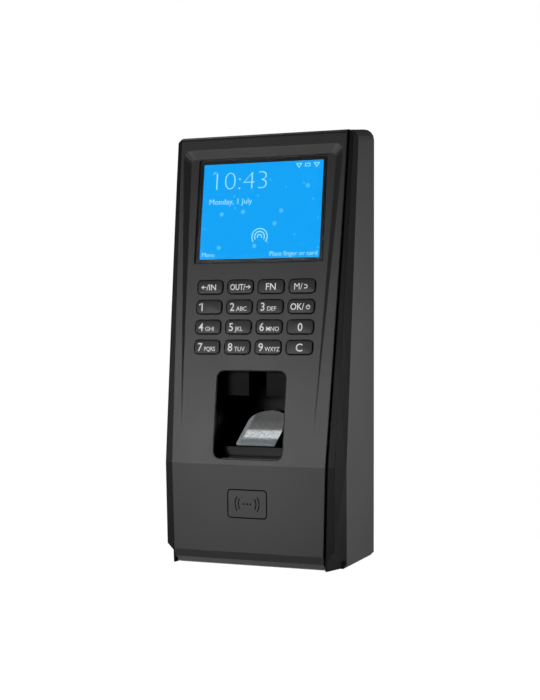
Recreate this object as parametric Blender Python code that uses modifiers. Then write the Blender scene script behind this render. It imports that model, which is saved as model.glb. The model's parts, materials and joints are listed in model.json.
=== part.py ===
"""Wall-mounted fingerprint scanner terminal with a colour screen, a keypad and a card reader.

Metres, +Z up. The front faces -Y, +X is to the right of a person who faces the terminal, and
the wall is the plane y = 0. The origin is on the wall, at half of the terminal's height.

Most sizes are written in the terminal's own frame, an empty whose origin is on the wall, just
above the foot: a height is counted up from there, and a depth is counted out from the wall.
"""
import math

import bmesh
import bpy
from mathutils import Matrix, Vector

MM = 0.001
GAP = 0.3 * MM                    # air between neighbouring pieces

# Overall form
TOP_HEIGHT = 193.4 * MM           # at the wall
FOOT_HEIGHT = -1.2 * MM           # of the front; the casing's foot rises a little to the wall
CREASE_HEIGHT = 43.5 * MM         # where the tilted upper face meets the lower face
CREASE_DEPTH = 49.8 * MM
FOOT_DEPTH = 49.3 * MM            # the lower face leans back very slightly
PANEL_SLOPE = 0.1187              # depth lost for each metre of height, upper face
PANEL_TILT = math.atan(PANEL_SLOPE)
TOP_FRONT_HEIGHT = 189.15 * MM    # the top rises from here to the wall
TOP_FRONT_DEPTH = CREASE_DEPTH - (TOP_FRONT_HEIGHT - CREASE_HEIGHT) * PANEL_SLOPE
TOP_SLOPE = (TOP_HEIGHT - TOP_FRONT_HEIGHT) / TOP_FRONT_DEPTH

# Front cover
COVER_TOP_HALF = 40.0 * MM
COVER_FOOT_HALF = 35.1 * MM
COVER_BOW_HEIGHT = 165 * MM       # the sides bend in towards the foot below this height
COVER_THICKNESS = 3.0 * MM
COVER_FOOT_RADIUS = 6.6 * MM
COVER_TOP_RADIUS = 1.9 * MM
COVER_LIP_DEPTH = 41.5 * MM       # how far back the lip under the foot reaches
SKIRT_INSET = 1.6 * MM
SKIRT_WALL = 1.4 * MM
SKIRT_REACH = 9.0 * MM
SKIRT_FOOT = 6.5 * MM
SKIRT_DROP = 2.6 * MM             # from the top down to the skirt
SIDE_POINTS = 7                   # points along each bowed side

# The shallow recess of the centre panel
CENTRE_FOOT_HEIGHT = 56 * MM      # the recess fades out here
CENTRE_TILT = math.atan(0.1281)
RECESS_TOP_RUN = 124.5 * MM
RECESS_TOP_HALF = 35.0 * MM
RECESS_FOOT_HALF = 30.1 * MM
RECESS_FADE = 6 * MM              # the cutter starts this far below the recess's foot
RECESS_TOP_WALL = 3.8 * MM        # the recess's sides slant over this width
RECESS_FOOT_WALL = 2.4 * MM
RECESS_CORNER = 2.5 * MM
RECESS_RIM_CORNER = 3.5 * MM
RIM_LIFT = 0.03 * MM              # keeps the cutter's rim just clear of the upper face

# Glossy trim ring
RIDGE_TOP_HALF = 42.35 * MM
RIDGE_FOOT_HALF = 39.4 * MM
RIDGE_BOW_HEIGHT = 155 * MM
RIDGE_SETBACK = 1.5 * MM
JOINT_SETBACK = 13.1 * MM         # the joint between the trim ring and the rear casing
JOINT_TOP_SETBACK = 11.1 * MM     # the joint leans less than the upper face
TRIM_FOOT = -0.9 * MM
RIDGE_SHOULDER = 7.4 * MM         # the ring's lower corners are cut off below this height
JOINT_SHOULDER = 2.8 * MM
RIDGE_FOOT_CORNER = 2.9 * MM
RIDGE_TOP_CORNER = 1.6 * MM
JOINT_FOOT_CORNER = 1.8 * MM
JOINT_TOP_CORNER = 3.2 * MM
CORNER_DRAFT = 0.2 * MM           # below the cut corner, the ring narrows by this much

# Rear casing
CASING_HALF = 41.05 * MM
CASING_FOOT = -1.2 * MM           # at the joint
CASING_FOOT_BACK = 0.0 * MM       # at the wall
CASING_WALL = 2.2 * MM
CASING_BACK = 0.3 * MM
BACK_WALL_FROM = 2.0 * MM
BACK_WALL_TO = 4.0 * MM
CASING_TOP_RADIUS = 5.0 * MM
HOLLOW_TOP_CHAMFER = 3.5 * MM
CASING_FOOT_CHAMFER = 1.6 * MM
PLATE_RECESS_HALF = 37.2 * MM
PLATE_RECESS_FOOT = 8.6 * MM
PLATE_RECESS_TOP = 186 * MM

# Screen, in the centre panel's own plane: runs are counted up from the recess's foot
SCREEN_RUN = 100.2 * MM
SCREEN_WIDTH = 57.6 * MM          # 2.8 inch, 4:3
SCREEN_HEIGHT = 43.2 * MM
SCREEN_BORDER = 1.8 * MM
LENS_SETBACK = 0.25 * MM
LENS_THICKNESS = 1.1 * MM
LCD_SIZE = (68.0 * MM, 50.4 * MM, 2.4 * MM)
LCD_FRONT = 3.0 * MM
BRACKET_WALL = 1.2 * MM

# Keys
KEY_NAMES = (
    ("key_in", "key_out", "key_fn", "key_menu"),
    ("key_1", "key_2", "key_3", "key_ok"),
    ("key_4", "key_5", "key_6", "key_0"),
    ("key_7", "key_8", "key_9", "key_clear"),
)
KEY_SIZE = (12.35 * MM, 6.06 * MM)
KEY_PITCH = (14.7 * MM, 8.93 * MM)
KEY_TOP_RUN = 65.8 * MM
KEY_CORNER = 1.7 * MM
KEY_PROUD = 0.5 * MM
KEY_EDGE = 0.25 * MM
KEY_FLANGE = 0.6 * MM
KEY_FLANGE_FROM = 3.1 * MM
KEY_FLANGE_TO = 4.1 * MM
KEY_TRAVEL = 0.9 * MM
KEYPAD_RUN = 52.4 * MM
KEYPAD_SIZE = (59.0 * MM, 36.0 * MM)
MAT_THICKNESS = 1.0 * MM
BOARD_THICKNESS = 1.6 * MM

# Finger opening and the well behind it
OPENING_SIZE = (33.3 * MM, 39.1 * MM)
OPENING_RUN = 9.25 * MM
OPENING_CORNER = 3.3 * MM
WELL_HALF = 16.35 * MM
WELL_WALL = 1.5 * MM
WELL_FLOOR = 46.1 * MM
WELL_CEILING = 84.3 * MM
WELL_BACK_DEPTH = 17.6 * MM
SILL_DEPTH = 41.8 * MM            # front wall of the sensor block
SILL_HEIGHT = 50.8 * MM
RAMP_TOP_DEPTH = 20 * MM
RAMP_TOP_HEIGHT = 66 * MM
RAMP_THICKNESS = 2.0 * MM
PLATEN_WIDTH = 17.8 * MM
PLATEN_LENGTH = 24 * MM
PLATEN_PROUD = 0.9 * MM
PRISM_THICKNESS = 5.0 * MM
GUIDE_DEPTH = 38 * MM
GUIDE_FOOT = 73.2 * MM
GUIDE_SLOT = 8.4 * MM
GUIDE_THICKNESS = 4.0 * MM

# Electronics
MAIN_BOARD_HALF = 28.5 * MM
MAIN_BOARD_FOOT = 92 * MM
MAIN_BOARD_TOP = 182 * MM
MAIN_BOARD_DEPTH = 15.4 * MM
BOARD_POSTS = ((-24.5 * MM, 96.5 * MM), (24.5 * MM, 96.5 * MM),
               (-24.5 * MM, 177.5 * MM), (24.5 * MM, 177.5 * MM))
COVER_BOSSES = ((-29.5 * MM, 12.5 * MM), (29.5 * MM, 12.5 * MM),
                (-33.0 * MM, 119 * MM), (33.0 * MM, 119 * MM))
BAY_HALF = 29 * MM                # window for the connectors in the casing's back
BAY_FOOT = 108 * MM
BAY_TOP = 134 * MM
SOCKET_X = -19 * MM
SOCKET_HEIGHT = 121 * MM
SOCKET_SIDE = 15.6 * MM
SOCKET_PORT = (11.8 * MM, 8.6 * MM)
CONNECTOR_DEPTH = 4.8 * MM
TERMINALS = 8
TERMINAL_PITCH = 3.81 * MM
TERMINAL_X = 10 * MM
TAMPER_X = 20 * MM
TAMPER_HEIGHT = 150 * MM
TAMPER_TRAVEL = 0.8 * MM

# Wall plate
PLATE_HALF = 36.5 * MM
PLATE_FOOT = 9.3 * MM
PLATE_TOP = 185.2 * MM
PLATE_THICKNESS = 1.5 * MM
HOOK_X = 22 * MM
HOOK_HEIGHT = 166 * MM
HOOK_WIDTH = 8 * MM
TAB_HALF = 7 * MM
TAB_REACH = 13 * MM
SCREW_DEPTH = 8.5 * MM            # the locking screw's axis, out from the wall

COLOURS = {
    "cover_grey": ((0.035, 0.035, 0.037), 0.42, 0.0),
    "casing_grey": ((0.040, 0.040, 0.042), 0.60, 0.0),
    "gloss_black": ((0.006, 0.006, 0.007), 0.10, 0.0),
    "lens_black": ((0.004, 0.010, 0.016), 0.06, 0.0),
    "lcd": ((0.0, 0.30, 0.75), 0.30, 0.0),
    "key_grey": ((0.045, 0.045, 0.047), 0.45, 0.0),
    "silicone": ((0.10, 0.10, 0.11), 0.80, 0.0),
    "board_green": ((0.010, 0.090, 0.040), 0.45, 0.0),
    "platen": ((0.55, 0.57, 0.60), 0.18, 0.0),
    "chip_black": ((0.015, 0.015, 0.016), 0.50, 0.0),
    "steel": ((0.55, 0.55, 0.56), 0.32, 1.0),
    "bracket_white": ((0.70, 0.70, 0.68), 0.50, 0.0),
    "terminal_green": ((0.020, 0.220, 0.060), 0.45, 0.0),
    "relay_blue": ((0.020, 0.080, 0.300), 0.40, 0.0),
    "ribbon_amber": ((0.500, 0.220, 0.040), 0.35, 0.0),
}


def clear_scene():
    """Remove every object that the file opened with."""
    for obj in list(bpy.data.objects):
        bpy.data.objects.remove(obj, do_unlink=True)


def new_collection(name):
    """Link a new collection to the scene and return it."""
    collection = bpy.data.collections.new(name)
    bpy.context.scene.collection.children.link(collection)
    return collection


def new_empty(name, parent, location, tilt=0.0):
    """Add an empty; a positive tilt leans its +Z back, towards the wall."""
    empty = bpy.data.objects.new(name, None)
    PARTS.objects.link(empty)
    empty.parent = parent
    empty.location = location
    empty.rotation_euler = (-tilt, 0, 0)
    return empty


# ---------------------------------------------------------------- outlines

def round_corners(points, radius, steps=3):
    """Return the closed outline with every corner turned into an arc; radius may be a list."""
    radii = radius if isinstance(radius, (list, tuple)) else [radius] * len(points)
    rounded = []
    for index, corner in enumerate(points):
        corner = Vector(corner)
        if radii[index] <= 0:
            rounded.append(tuple(corner))
            continue
        before = (Vector(points[index - 1]) - corner).normalized()
        after = (Vector(points[(index + 1) % len(points)]) - corner).normalized()
        half = before.angle(after) / 2
        centre = corner + (before + after).normalized() * radii[index] / math.sin(half)
        reach = radii[index] / math.tan(half)
        first = corner + before * reach - centre
        sweep = first.angle_signed(corner + after * reach - centre)
        for step in range(steps + 1):
            arm = first.copy()
            arm.rotate(Matrix.Rotation(-sweep * step / steps, 2))
            rounded.append(tuple(centre + arm))
    return rounded


def rectangle(x_range, z_range):
    """Return a rectangle's corners, counter-clockwise."""
    return [(x_range[0], z_range[0]), (x_range[1], z_range[0]),
            (x_range[1], z_range[1]), (x_range[0], z_range[1])]


def rounded_rectangle(width, height, radius, centre=(0, 0), steps=3):
    """Return a rectangle of the given size, with round corners."""
    x, z = centre
    corners = rectangle((x - width / 2, x + width / 2), (z - height / 2, z + height / 2))
    return round_corners(corners, radius, steps)


def circle(radius, centre=(0, 0), steps=12):
    """Return points round a circle."""
    turns = [2 * math.pi * step / steps for step in range(steps)]
    return [(centre[0] + radius * math.cos(t), centre[1] + radius * math.sin(t)) for t in turns]


def bowed_half_width(height, foot_half, top_half, bow_height):
    """Return the half width of a side that leans in towards the foot, along a parabola."""
    lean = 2 * bow_height - TOP_HEIGHT
    share = (bow_height - math.sqrt(bow_height ** 2 - lean * height)) / lean
    return top_half - (top_half - foot_half) * (1 - share) ** 2


def front_outline(foot_half, top_half, bow_height, foot, top, grow=0.0):
    """Return the outline, seen from the front, of a piece with two bowed sides."""
    heights = [foot + (top - foot) * step / (SIDE_POINTS - 1) for step in range(SIDE_POINTS)]
    halves = [bowed_half_width(max(0, min(h, TOP_HEIGHT)), foot_half, top_half, bow_height) + grow
              for h in heights]
    right = list(zip(halves, heights))
    left = [(-half, height) for half, height in reversed(right)]
    return right + left


def cover_outline(foot, top, grow=0.0):
    """Return the front cover's outline, cut off at the given heights."""
    return front_outline(COVER_FOOT_HALF, COVER_TOP_HALF, COVER_BOW_HEIGHT, foot, top, grow)


def upper_point(run, setback):
    """Return (y, z) of a point on the upper face, set back square to it."""
    lean = (math.sin(PANEL_TILT), math.cos(PANEL_TILT))
    return (-CREASE_DEPTH + run * lean[0] + setback * lean[1],
            CREASE_HEIGHT + run * lean[1] - setback * lean[0])


def top_point(setback, drop=0.0):
    """Return (y, z) where a surface set back from the upper face meets the lowered top."""
    along, square = math.cos(PANEL_TILT), math.sin(PANEL_TILT)
    start_y, start_z = upper_point(0, setback)
    rise = top_height(start_y, drop) - start_z
    return upper_point(rise / (along - TOP_SLOPE * square), setback)


def top_height(y, drop=0.0):
    """Return the height of the sloping top at y, or of a surface under it."""
    return TOP_HEIGHT + y * TOP_SLOPE - drop


def crease_point(setback):
    """Return (y, z) of the crease, for a surface set back from the front."""
    return (-CREASE_DEPTH + setback, CREASE_HEIGHT - setback * math.tan(PANEL_TILT / 2))


def foot_point(setback, height=0.0):
    """Return (y, z) on the lower face, set back from it."""
    share = height / CREASE_HEIGHT
    return (-(FOOT_DEPTH + (CREASE_DEPTH - FOOT_DEPTH) * share) + setback, height)


def bent_band(front, back, foot, drop):
    """Return the side outline of a bent slab that follows the front, between two setbacks."""
    return [foot_point(back, foot), crease_point(back), top_point(back, drop),
            top_point(front, drop), crease_point(front), foot_point(front, foot)]


# ---------------------------------------------------------------- solids

def outline_mesh(name, outlines, thickness):
    """Return a flat closed solid in XY, centred on Z; inner outlines are its holes."""
    curve = bpy.data.curves.new(name, "CURVE")
    curve.dimensions = "2D"
    curve.fill_mode = "BOTH"
    curve.extrude = thickness / 2
    for outline in outlines:
        spline = curve.splines.new("POLY")
        spline.points.add(len(outline) - 1)
        for point, (x, y) in zip(spline.points, outline):
            point.co = (x, y, 0, 1)
        spline.use_cyclic_u = True
    guide = bpy.data.objects.new(name, curve)
    bpy.context.scene.collection.objects.link(guide)
    evaluated = guide.evaluated_get(bpy.context.evaluated_depsgraph_get())
    mesh = bpy.data.meshes.new_from_object(evaluated)
    mesh.name = name
    bpy.data.objects.remove(guide)
    bm = bmesh.new()
    bm.from_mesh(mesh)
    bmesh.ops.remove_doubles(bm, verts=bm.verts, dist=0.001 * MM)
    if len(outlines) == 1:
        bmesh.ops.dissolve_limit(bm, angle_limit=0.001, verts=bm.verts, edges=bm.edges)
    bmesh.ops.recalc_face_normals(bm, faces=bm.faces)
    bm.to_mesh(mesh)
    bm.free()
    return mesh


def add_object(name, mesh, parent, collection=None):
    """Make an object of the mesh under the given parent."""
    obj = bpy.data.objects.new(name, mesh)
    (collection or PARTS).objects.link(obj)
    obj.parent = parent
    return obj


def facing_front(name, outlines, depth_from, depth_to, parent=None, collection=None):
    """Extrude outlines that are seen from the front, from one local y to another."""
    mesh = outline_mesh(name, outlines, abs(depth_to - depth_from))
    upright = Matrix.Rotation(math.radians(90), 4, "X")
    mesh.transform(Matrix.Translation((0, (depth_from + depth_to) / 2, 0)) @ upright)
    return add_object(name, mesh, parent or TERMINAL, collection)


def facing_side(name, outlines, x_from, x_to, parent=None, collection=None):
    """Extrude outlines in (y, z) that are seen from the side, from one x to another."""
    mesh = outline_mesh(name, outlines, x_to - x_from)
    sideways = Matrix(((0, 0, 1, 0), (1, 0, 0, 0), (0, 1, 0, 0), (0, 0, 0, 1)))
    mesh.transform(Matrix.Translation(((x_from + x_to) / 2, 0, 0)) @ sideways)
    return add_object(name, mesh, parent or TERMINAL, collection)


def facing_up(name, outlines, z_from, z_to, parent=None, collection=None):
    """Extrude outlines in (x, y) that are seen from above, from one height to another."""
    mesh = outline_mesh(name, outlines, z_to - z_from)
    mesh.transform(Matrix.Translation((0, 0, (z_from + z_to) / 2)))
    return add_object(name, mesh, parent or TERMINAL, collection)


def box(name, x_range, y_range, z_range, parent=None, collection=None):
    """Add a box that fills the three ranges."""
    mesh = bpy.data.meshes.new(name)
    ranges = (x_range, y_range, z_range)
    size = Matrix.Diagonal([high - low for low, high in ranges] + [1])
    centre = Matrix.Translation([(low + high) / 2 for low, high in ranges])
    bm = bmesh.new()
    bmesh.ops.create_cube(bm, size=1, matrix=centre @ size)
    bm.to_mesh(mesh)
    bm.free()
    return add_object(name, mesh, parent or TERMINAL, collection)


def loft_mesh(name, loops):
    """Return a closed solid through loops that all have the same number of points."""
    bm = bmesh.new()
    rings = [[bm.verts.new(co) for co in loop] for loop in loops]
    for ring, following in zip(rings, rings[1:]):
        edges = zip(ring, ring[1:] + ring[:1], following, following[1:] + following[:1])
        for start, end, next_start, next_end in edges:
            bm.faces.new((start, end, next_end, next_start))
    bm.faces.new(rings[0])
    bm.faces.new(rings[-1])
    bmesh.ops.recalc_face_normals(bm, faces=bm.faces)
    mesh = bpy.data.meshes.new(name)
    bm.to_mesh(mesh)
    bm.free()
    return mesh


def boolean(obj, operation, cutter):
    """Add an exact Boolean modifier that uses a hidden cutter."""
    cutter.hide_render = True
    cutter.display_type = "WIRE"
    modifier = obj.modifiers.new(f"{operation.lower()} {cutter.name}", "BOOLEAN")
    modifier.operation = operation
    modifier.solver = "EXACT"
    modifier.object = cutter


def cut(obj, *cutters):
    """Cut each cutter away from the object."""
    for cutter in cutters:
        boolean(obj, "DIFFERENCE", cutter)


def bevel_edges(obj, width, choose, segments=1):
    """Bevel the edges that the test picks from their two ends."""
    bm = bmesh.new()
    bm.from_mesh(obj.data)
    edges = [edge for edge in bm.edges if choose(edge.verts[0].co, edge.verts[1].co)]
    bmesh.ops.bevel(bm, geom=edges, offset=width, offset_type="OFFSET", segments=segments,
                    profile=0.5, affect="EDGES", clamp_overlap=True)
    bm.to_mesh(obj.data)
    bm.free()


def paint(colour, *objects):
    """Give each object a material of its own in the named colour."""
    base, roughness, metallic = COLOURS[colour]
    for obj in objects:
        material = bpy.data.materials.new(obj.name)
        material.use_nodes = True
        shader = material.node_tree.nodes["Principled BSDF"]
        shader.inputs["Base Color"].default_value = (*base, 1)
        shader.inputs["Roughness"].default_value = roughness
        shader.inputs["Metallic"].default_value = metallic
        obj.data.materials.clear()
        obj.data.materials.append(material)


def smooth(*objects):
    """Shade the round faces smooth and keep the sharp edges."""
    for obj in objects:
        obj.data.shade_smooth()
        obj.data.set_sharp_from_angle(angle=math.radians(35))


def rod(name, radius, y_from, y_to, x, z, steps=12, parent=None, collection=None):
    """Add a round bar along Y."""
    outline = circle(radius, (x, z), steps)
    return facing_front(name, [outline], y_from, y_to, parent, collection)


# ---------------------------------------------------------------- front cover

def cover_openings():
    """Return the cutter for the screen, the keys and the finger opening."""
    outlines = [rounded_rectangle(SCREEN_WIDTH + 2 * SCREEN_BORDER + 2 * GAP,
                                  SCREEN_HEIGHT + 2 * SCREEN_BORDER + 2 * GAP,
                                  1.0 * MM, (0, SCREEN_RUN), 2),
                rounded_rectangle(*OPENING_SIZE, OPENING_CORNER, (0, OPENING_RUN), 4)]
    for _, x, run in key_places():
        outlines.append(rounded_rectangle(KEY_SIZE[0] + 2 * GAP, KEY_SIZE[1] + 2 * GAP,
                                          KEY_CORNER + GAP, (x, run), 2))
    return facing_front("cover_openings", outlines, -6 * MM, 8 * MM, CENTRE, CUTTERS)


def centre_recess():
    """Return the cutter for the recess, a shallow tray that fades out towards its foot."""
    slope = math.tan(CENTRE_TILT) - PANEL_SLOPE
    outlines = []
    for foot_wall, top_wall, corner in ((0, 0, RECESS_CORNER),
                                        (RECESS_FOOT_WALL, RECESS_TOP_WALL, RECESS_RIM_CORNER)):
        foot, top = RECESS_FOOT_HALF + foot_wall, RECESS_TOP_HALF + top_wall
        end = RECESS_TOP_RUN + top_wall
        corners = [(foot, -RECESS_FADE), (top, end), (-top, end), (-foot, -RECESS_FADE)]
        outlines.append(round_corners(corners, [0, corner, corner, 0]))
    floor, rim = outlines
    loops = [[(x, 0, z) for x, z in floor],
             [(x, -max(0, z) * slope - RIM_LIFT, z) for x, z in rim],
             [(x, -max(0, z) * slope - 3 * MM, z) for x, z in rim]]
    return add_object("centre_recess", loft_mesh("centre_recess", loops), CENTRE, CUTTERS)


def cover_profile():
    """Return the front cover's side outline: a bent plate with a rounded foot and a short lip."""
    inner_foot = FOOT_HEIGHT + COVER_THICKNESS
    corners = [top_point(0), crease_point(0), foot_point(0, FOOT_HEIGHT),
               (-COVER_LIP_DEPTH, FOOT_HEIGHT), (-COVER_LIP_DEPTH, inner_foot),
               foot_point(COVER_THICKNESS, inner_foot),
               crease_point(COVER_THICKNESS), top_point(COVER_THICKNESS)]
    radii = [COVER_TOP_RADIUS, 0, COVER_FOOT_RADIUS, 0, 0,
             COVER_FOOT_RADIUS - COVER_THICKNESS, 0, 0]
    return round_corners(corners, radii, 3)


def build_front_cover():
    """Model the front cover: bent plate, skirt, screw bosses and openings."""
    cover = facing_side("front_cover", [cover_profile()], -45 * MM, 45 * MM)
    outline = cover_outline(-4 * MM, TOP_HEIGHT)
    boolean(cover, "INTERSECT", facing_front("cover_sides", [outline], -60 * MM, 0,
                                             collection=CUTTERS))
    skirt_band = bent_band(COVER_THICKNESS - 1 * MM, SKIRT_REACH, SKIRT_FOOT, SKIRT_DROP)
    skirt = facing_side("cover_skirt", [skirt_band], -45 * MM, 45 * MM, collection=CUTTERS)
    skirt_outer = cover_outline(-4 * MM, TOP_HEIGHT, -SKIRT_INSET)
    boolean(skirt, "INTERSECT", facing_front("skirt_sides", [skirt_outer], -60 * MM, 0,
                                             collection=CUTTERS))
    hollow_band = bent_band(0.5 * MM, SKIRT_REACH + 5 * MM, SKIRT_FOOT + SKIRT_WALL,
                            SKIRT_DROP + SKIRT_WALL)
    hollow = facing_side("skirt_hollow", [hollow_band], -45 * MM, 45 * MM, collection=CUTTERS)
    skirt_inner = cover_outline(-4 * MM, TOP_HEIGHT, -SKIRT_INSET - SKIRT_WALL)
    boolean(hollow, "INTERSECT", facing_front("hollow_sides", [skirt_inner], -60 * MM, 0,
                                              collection=CUTTERS))
    cut(skirt, hollow)
    boolean(cover, "UNION", skirt)
    for index, (x, height) in enumerate(COVER_BOSSES):
        front = -cover_depth(height) + COVER_THICKNESS - 0.8 * MM
        back = boss_end(height)
        boolean(cover, "UNION", rod(f"cover_boss_{index}", 2.8 * MM, front, back, x, height,
                                    collection=CUTTERS))
        cut(cover, rod(f"cover_boss_hole_{index}", 1.3 * MM, front + 2 * MM, back + 1 * MM,
                       x, height, 8, collection=CUTTERS))
    cut(cover, centre_recess(), cover_openings())
    paint("cover_grey", cover)
    return cover


def cover_depth(height):
    """Return how far the front stands out from the wall at a height."""
    if height < CREASE_HEIGHT:
        return -foot_point(0, height)[0]
    return CREASE_DEPTH - (height - CREASE_HEIGHT) * PANEL_SLOPE


def boss_end(height):
    """Return the y where a cover boss meets the casing's screw tube."""
    return -cover_depth(height) + JOINT_SETBACK


# ---------------------------------------------------------------- screen and keypad

def build_screen():
    """Model the window, the display behind it and the tray that holds the display."""
    lens_outline = rounded_rectangle(SCREEN_WIDTH + 2 * SCREEN_BORDER,
                                     SCREEN_HEIGHT + 2 * SCREEN_BORDER, 0.7 * MM,
                                     (0, SCREEN_RUN), 2)
    lens = facing_front("screen_lens", [lens_outline], LENS_SETBACK,
                        LENS_SETBACK + LENS_THICKNESS, CENTRE)
    width, height, depth = LCD_SIZE
    panel = facing_front("lcd_panel", [rounded_rectangle(width, height, 0.5 * MM,
                                                         (0, SCREEN_RUN), 1)],
                         LCD_FRONT, LCD_FRONT + depth, CENTRE)
    grow = 2 * (GAP + BRACKET_WALL)
    tray_back = LCD_FRONT + depth + GAP + BRACKET_WALL
    bracket = facing_front("lcd_bracket", [rounded_rectangle(width + grow, height + grow, 1 * MM,
                                                             (0, SCREEN_RUN), 2)],
                           LCD_FRONT, tray_back, CENTRE)
    pocket = rounded_rectangle(width + 2 * GAP, height + 2 * GAP, 0.6 * MM, (0, SCREEN_RUN), 1)
    cut(bracket, facing_front("lcd_pocket", [pocket], LCD_FRONT - 1 * MM,
                              tray_back - BRACKET_WALL, CENTRE, CUTTERS),
        facing_front("lcd_ribbon_slot", [rounded_rectangle(18 * MM, 5 * MM, 0.5 * MM,
                                                           (0, SCREEN_RUN - height / 2 + 4 * MM), 1)],
                     LCD_FRONT, tray_back + 1 * MM, CENTRE, CUTTERS))
    paint("lens_black", lens)
    paint("lcd", panel)
    paint("bracket_white", bracket)


def key_places():
    """Yield each key's name and its centre on the centre panel, row by row from the top."""
    for row, names in enumerate(KEY_NAMES):
        for column, name in enumerate(names):
            yield name, (column - 1.5) * KEY_PITCH[0], KEY_TOP_RUN - row * KEY_PITCH[1]


def key_mesh():
    """Return the mesh that all keys share: a cap with a flange that keeps it behind the cover."""
    width, height = KEY_SIZE
    chamfer = KEY_EDGE
    sections = ((-chamfer, -KEY_PROUD), (0, -KEY_PROUD + chamfer), (0, KEY_FLANGE_FROM),
                (KEY_FLANGE, KEY_FLANGE_FROM), (KEY_FLANGE, KEY_FLANGE_TO))
    loops = []
    for grow, y in sections:
        outline = rounded_rectangle(width + 2 * grow, height + 2 * grow, KEY_CORNER + grow)
        loops.append([(x, y, z) for x, z in outline])
    return loft_mesh("key", loops)


def build_keys():
    """Model the keys, each with its origin at the middle of its face."""
    mesh = key_mesh()
    for name, x, run in key_places():
        key = add_object(name, mesh.copy(), CENTRE)
        key.data.name = name
        key.location = (x, 0, run)
        paint("key_grey", key)


def build_keypad_stack():
    """Model the silicone mat and the board under the keys."""
    outline = rounded_rectangle(*KEYPAD_SIZE, 2 * MM, (0, KEYPAD_RUN), 2)
    mat_front = KEY_FLANGE_TO + KEY_TRAVEL + GAP
    mat = facing_front("keypad_mat", [outline], mat_front, mat_front + MAT_THICKNESS, CENTRE)
    board_front = mat_front + MAT_THICKNESS + GAP
    board = facing_front("keypad_board", [outline], board_front, board_front + BOARD_THICKNESS,
                         CENTRE)
    paint("silicone", mat)
    paint("board_green", board)


# ---------------------------------------------------------------- trim ring

def joint_setback(height):
    """Return how far the joint with the casing is set back from the front at a height."""
    top = top_point(JOINT_TOP_SETBACK)[1]
    share = max(0, height - CREASE_HEIGHT) / (top - CREASE_HEIGHT)
    return JOINT_SETBACK + (JOINT_TOP_SETBACK - JOINT_SETBACK) * share


def trim_loop(setback, halves, shoulder, foot_corner, top_corner):
    """Return one closed section of the ring; setback is a function of the height."""
    top = top_point(setback(TOP_HEIGHT), GAP)[1]
    heights = [shoulder, CREASE_HEIGHT, 75 * MM, 105 * MM, 135 * MM, 160 * MM,
               top - top_corner]
    right = [(bowed_half_width(height, *halves, RIDGE_BOW_HEIGHT), height) for height in heights]
    corner_x = right[0][0] - foot_corner
    right = [(corner_x - CORNER_DRAFT, TRIM_FOOT), (corner_x, shoulder - foot_corner)] + right
    right.append((right[-1][0] - top_corner, top))
    loop = right + [(-x, z) for x, z in reversed(right)]
    return [(x, surface_y(z, setback(z)), z) for x, z in loop]


def bent_loft_mesh(name, front, back):
    """Return a solid between two symmetric loops, with its ends split into crosswise strips."""
    bm = bmesh.new()
    rings = [[bm.verts.new(co) for co in loop] for loop in (front, back)]
    count = len(front)
    for index in range(count):
        follow = (index + 1) % count
        bm.faces.new((rings[0][index], rings[0][follow], rings[1][follow], rings[1][index]))
    for ring in rings:
        for index in range(count // 2 - 1):
            opposite = count - 1 - index
            bm.faces.new((ring[index], ring[index + 1], ring[opposite - 1], ring[opposite]))
    bmesh.ops.triangulate(bm, faces=bm.faces)
    bmesh.ops.recalc_face_normals(bm, faces=bm.faces)
    mesh = bpy.data.meshes.new(name)
    bm.to_mesh(mesh)
    bm.free()
    return mesh


def surface_y(height, setback):
    """Return y at a height on the bent surface set back from the front."""
    crease_y, crease_z = crease_point(setback)
    if height < crease_z:
        foot_y = foot_point(setback)[0]
        return foot_y + (crease_y - foot_y) * height / crease_z
    return crease_y + (height - crease_z) * PANEL_SLOPE


def build_trim():
    """Model the glossy ring: a loft from its ridge to the casing, with a rebate for the cover."""
    front = trim_loop(lambda height: RIDGE_SETBACK, (RIDGE_FOOT_HALF, RIDGE_TOP_HALF),
                      RIDGE_SHOULDER, RIDGE_FOOT_CORNER, RIDGE_TOP_CORNER)
    back = trim_loop(joint_setback, (CASING_HALF, CASING_HALF),
                     JOINT_SHOULDER, JOINT_FOOT_CORNER, JOINT_TOP_CORNER)
    trim = add_object("trim_frame", bent_loft_mesh("trim_frame", front, back), TERMINAL)

    beyond = 12 * MM
    rebate_band = [foot_point(COVER_THICKNESS + GAP, 5 * MM),
                   crease_point(COVER_THICKNESS + GAP),
                   top_point(COVER_THICKNESS + GAP, -beyond),
                   top_point(-beyond, -beyond), crease_point(-beyond),
                   foot_point(-beyond, -beyond), (-COVER_LIP_DEPTH + GAP, -beyond),
                   (-COVER_LIP_DEPTH + GAP, 5 * MM)]
    rebate = facing_side("trim_rebate", [rebate_band], -60 * MM, 60 * MM, collection=CUTTERS)
    sides = cover_outline(-20 * MM, TOP_HEIGHT + 20 * MM, GAP)
    boolean(rebate, "INTERSECT", facing_front("rebate_sides", [sides], -80 * MM, 0,
                                              collection=CUTTERS))
    hole_band = bent_band(-beyond, JOINT_SETBACK + beyond, SKIRT_FOOT - GAP, SKIRT_DROP - GAP)
    hole = facing_side("trim_hole", [hole_band], -60 * MM, 60 * MM, collection=CUTTERS)
    inner = cover_outline(-20 * MM, TOP_HEIGHT + 20 * MM, GAP - SKIRT_INSET)
    boolean(hole, "INTERSECT", facing_front("hole_sides", [inner], -80 * MM, 0,
                                            collection=CUTTERS))
    cut(trim, rebate, hole)
    paint("gloss_black", trim)


# ---------------------------------------------------------------- rear casing

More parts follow.
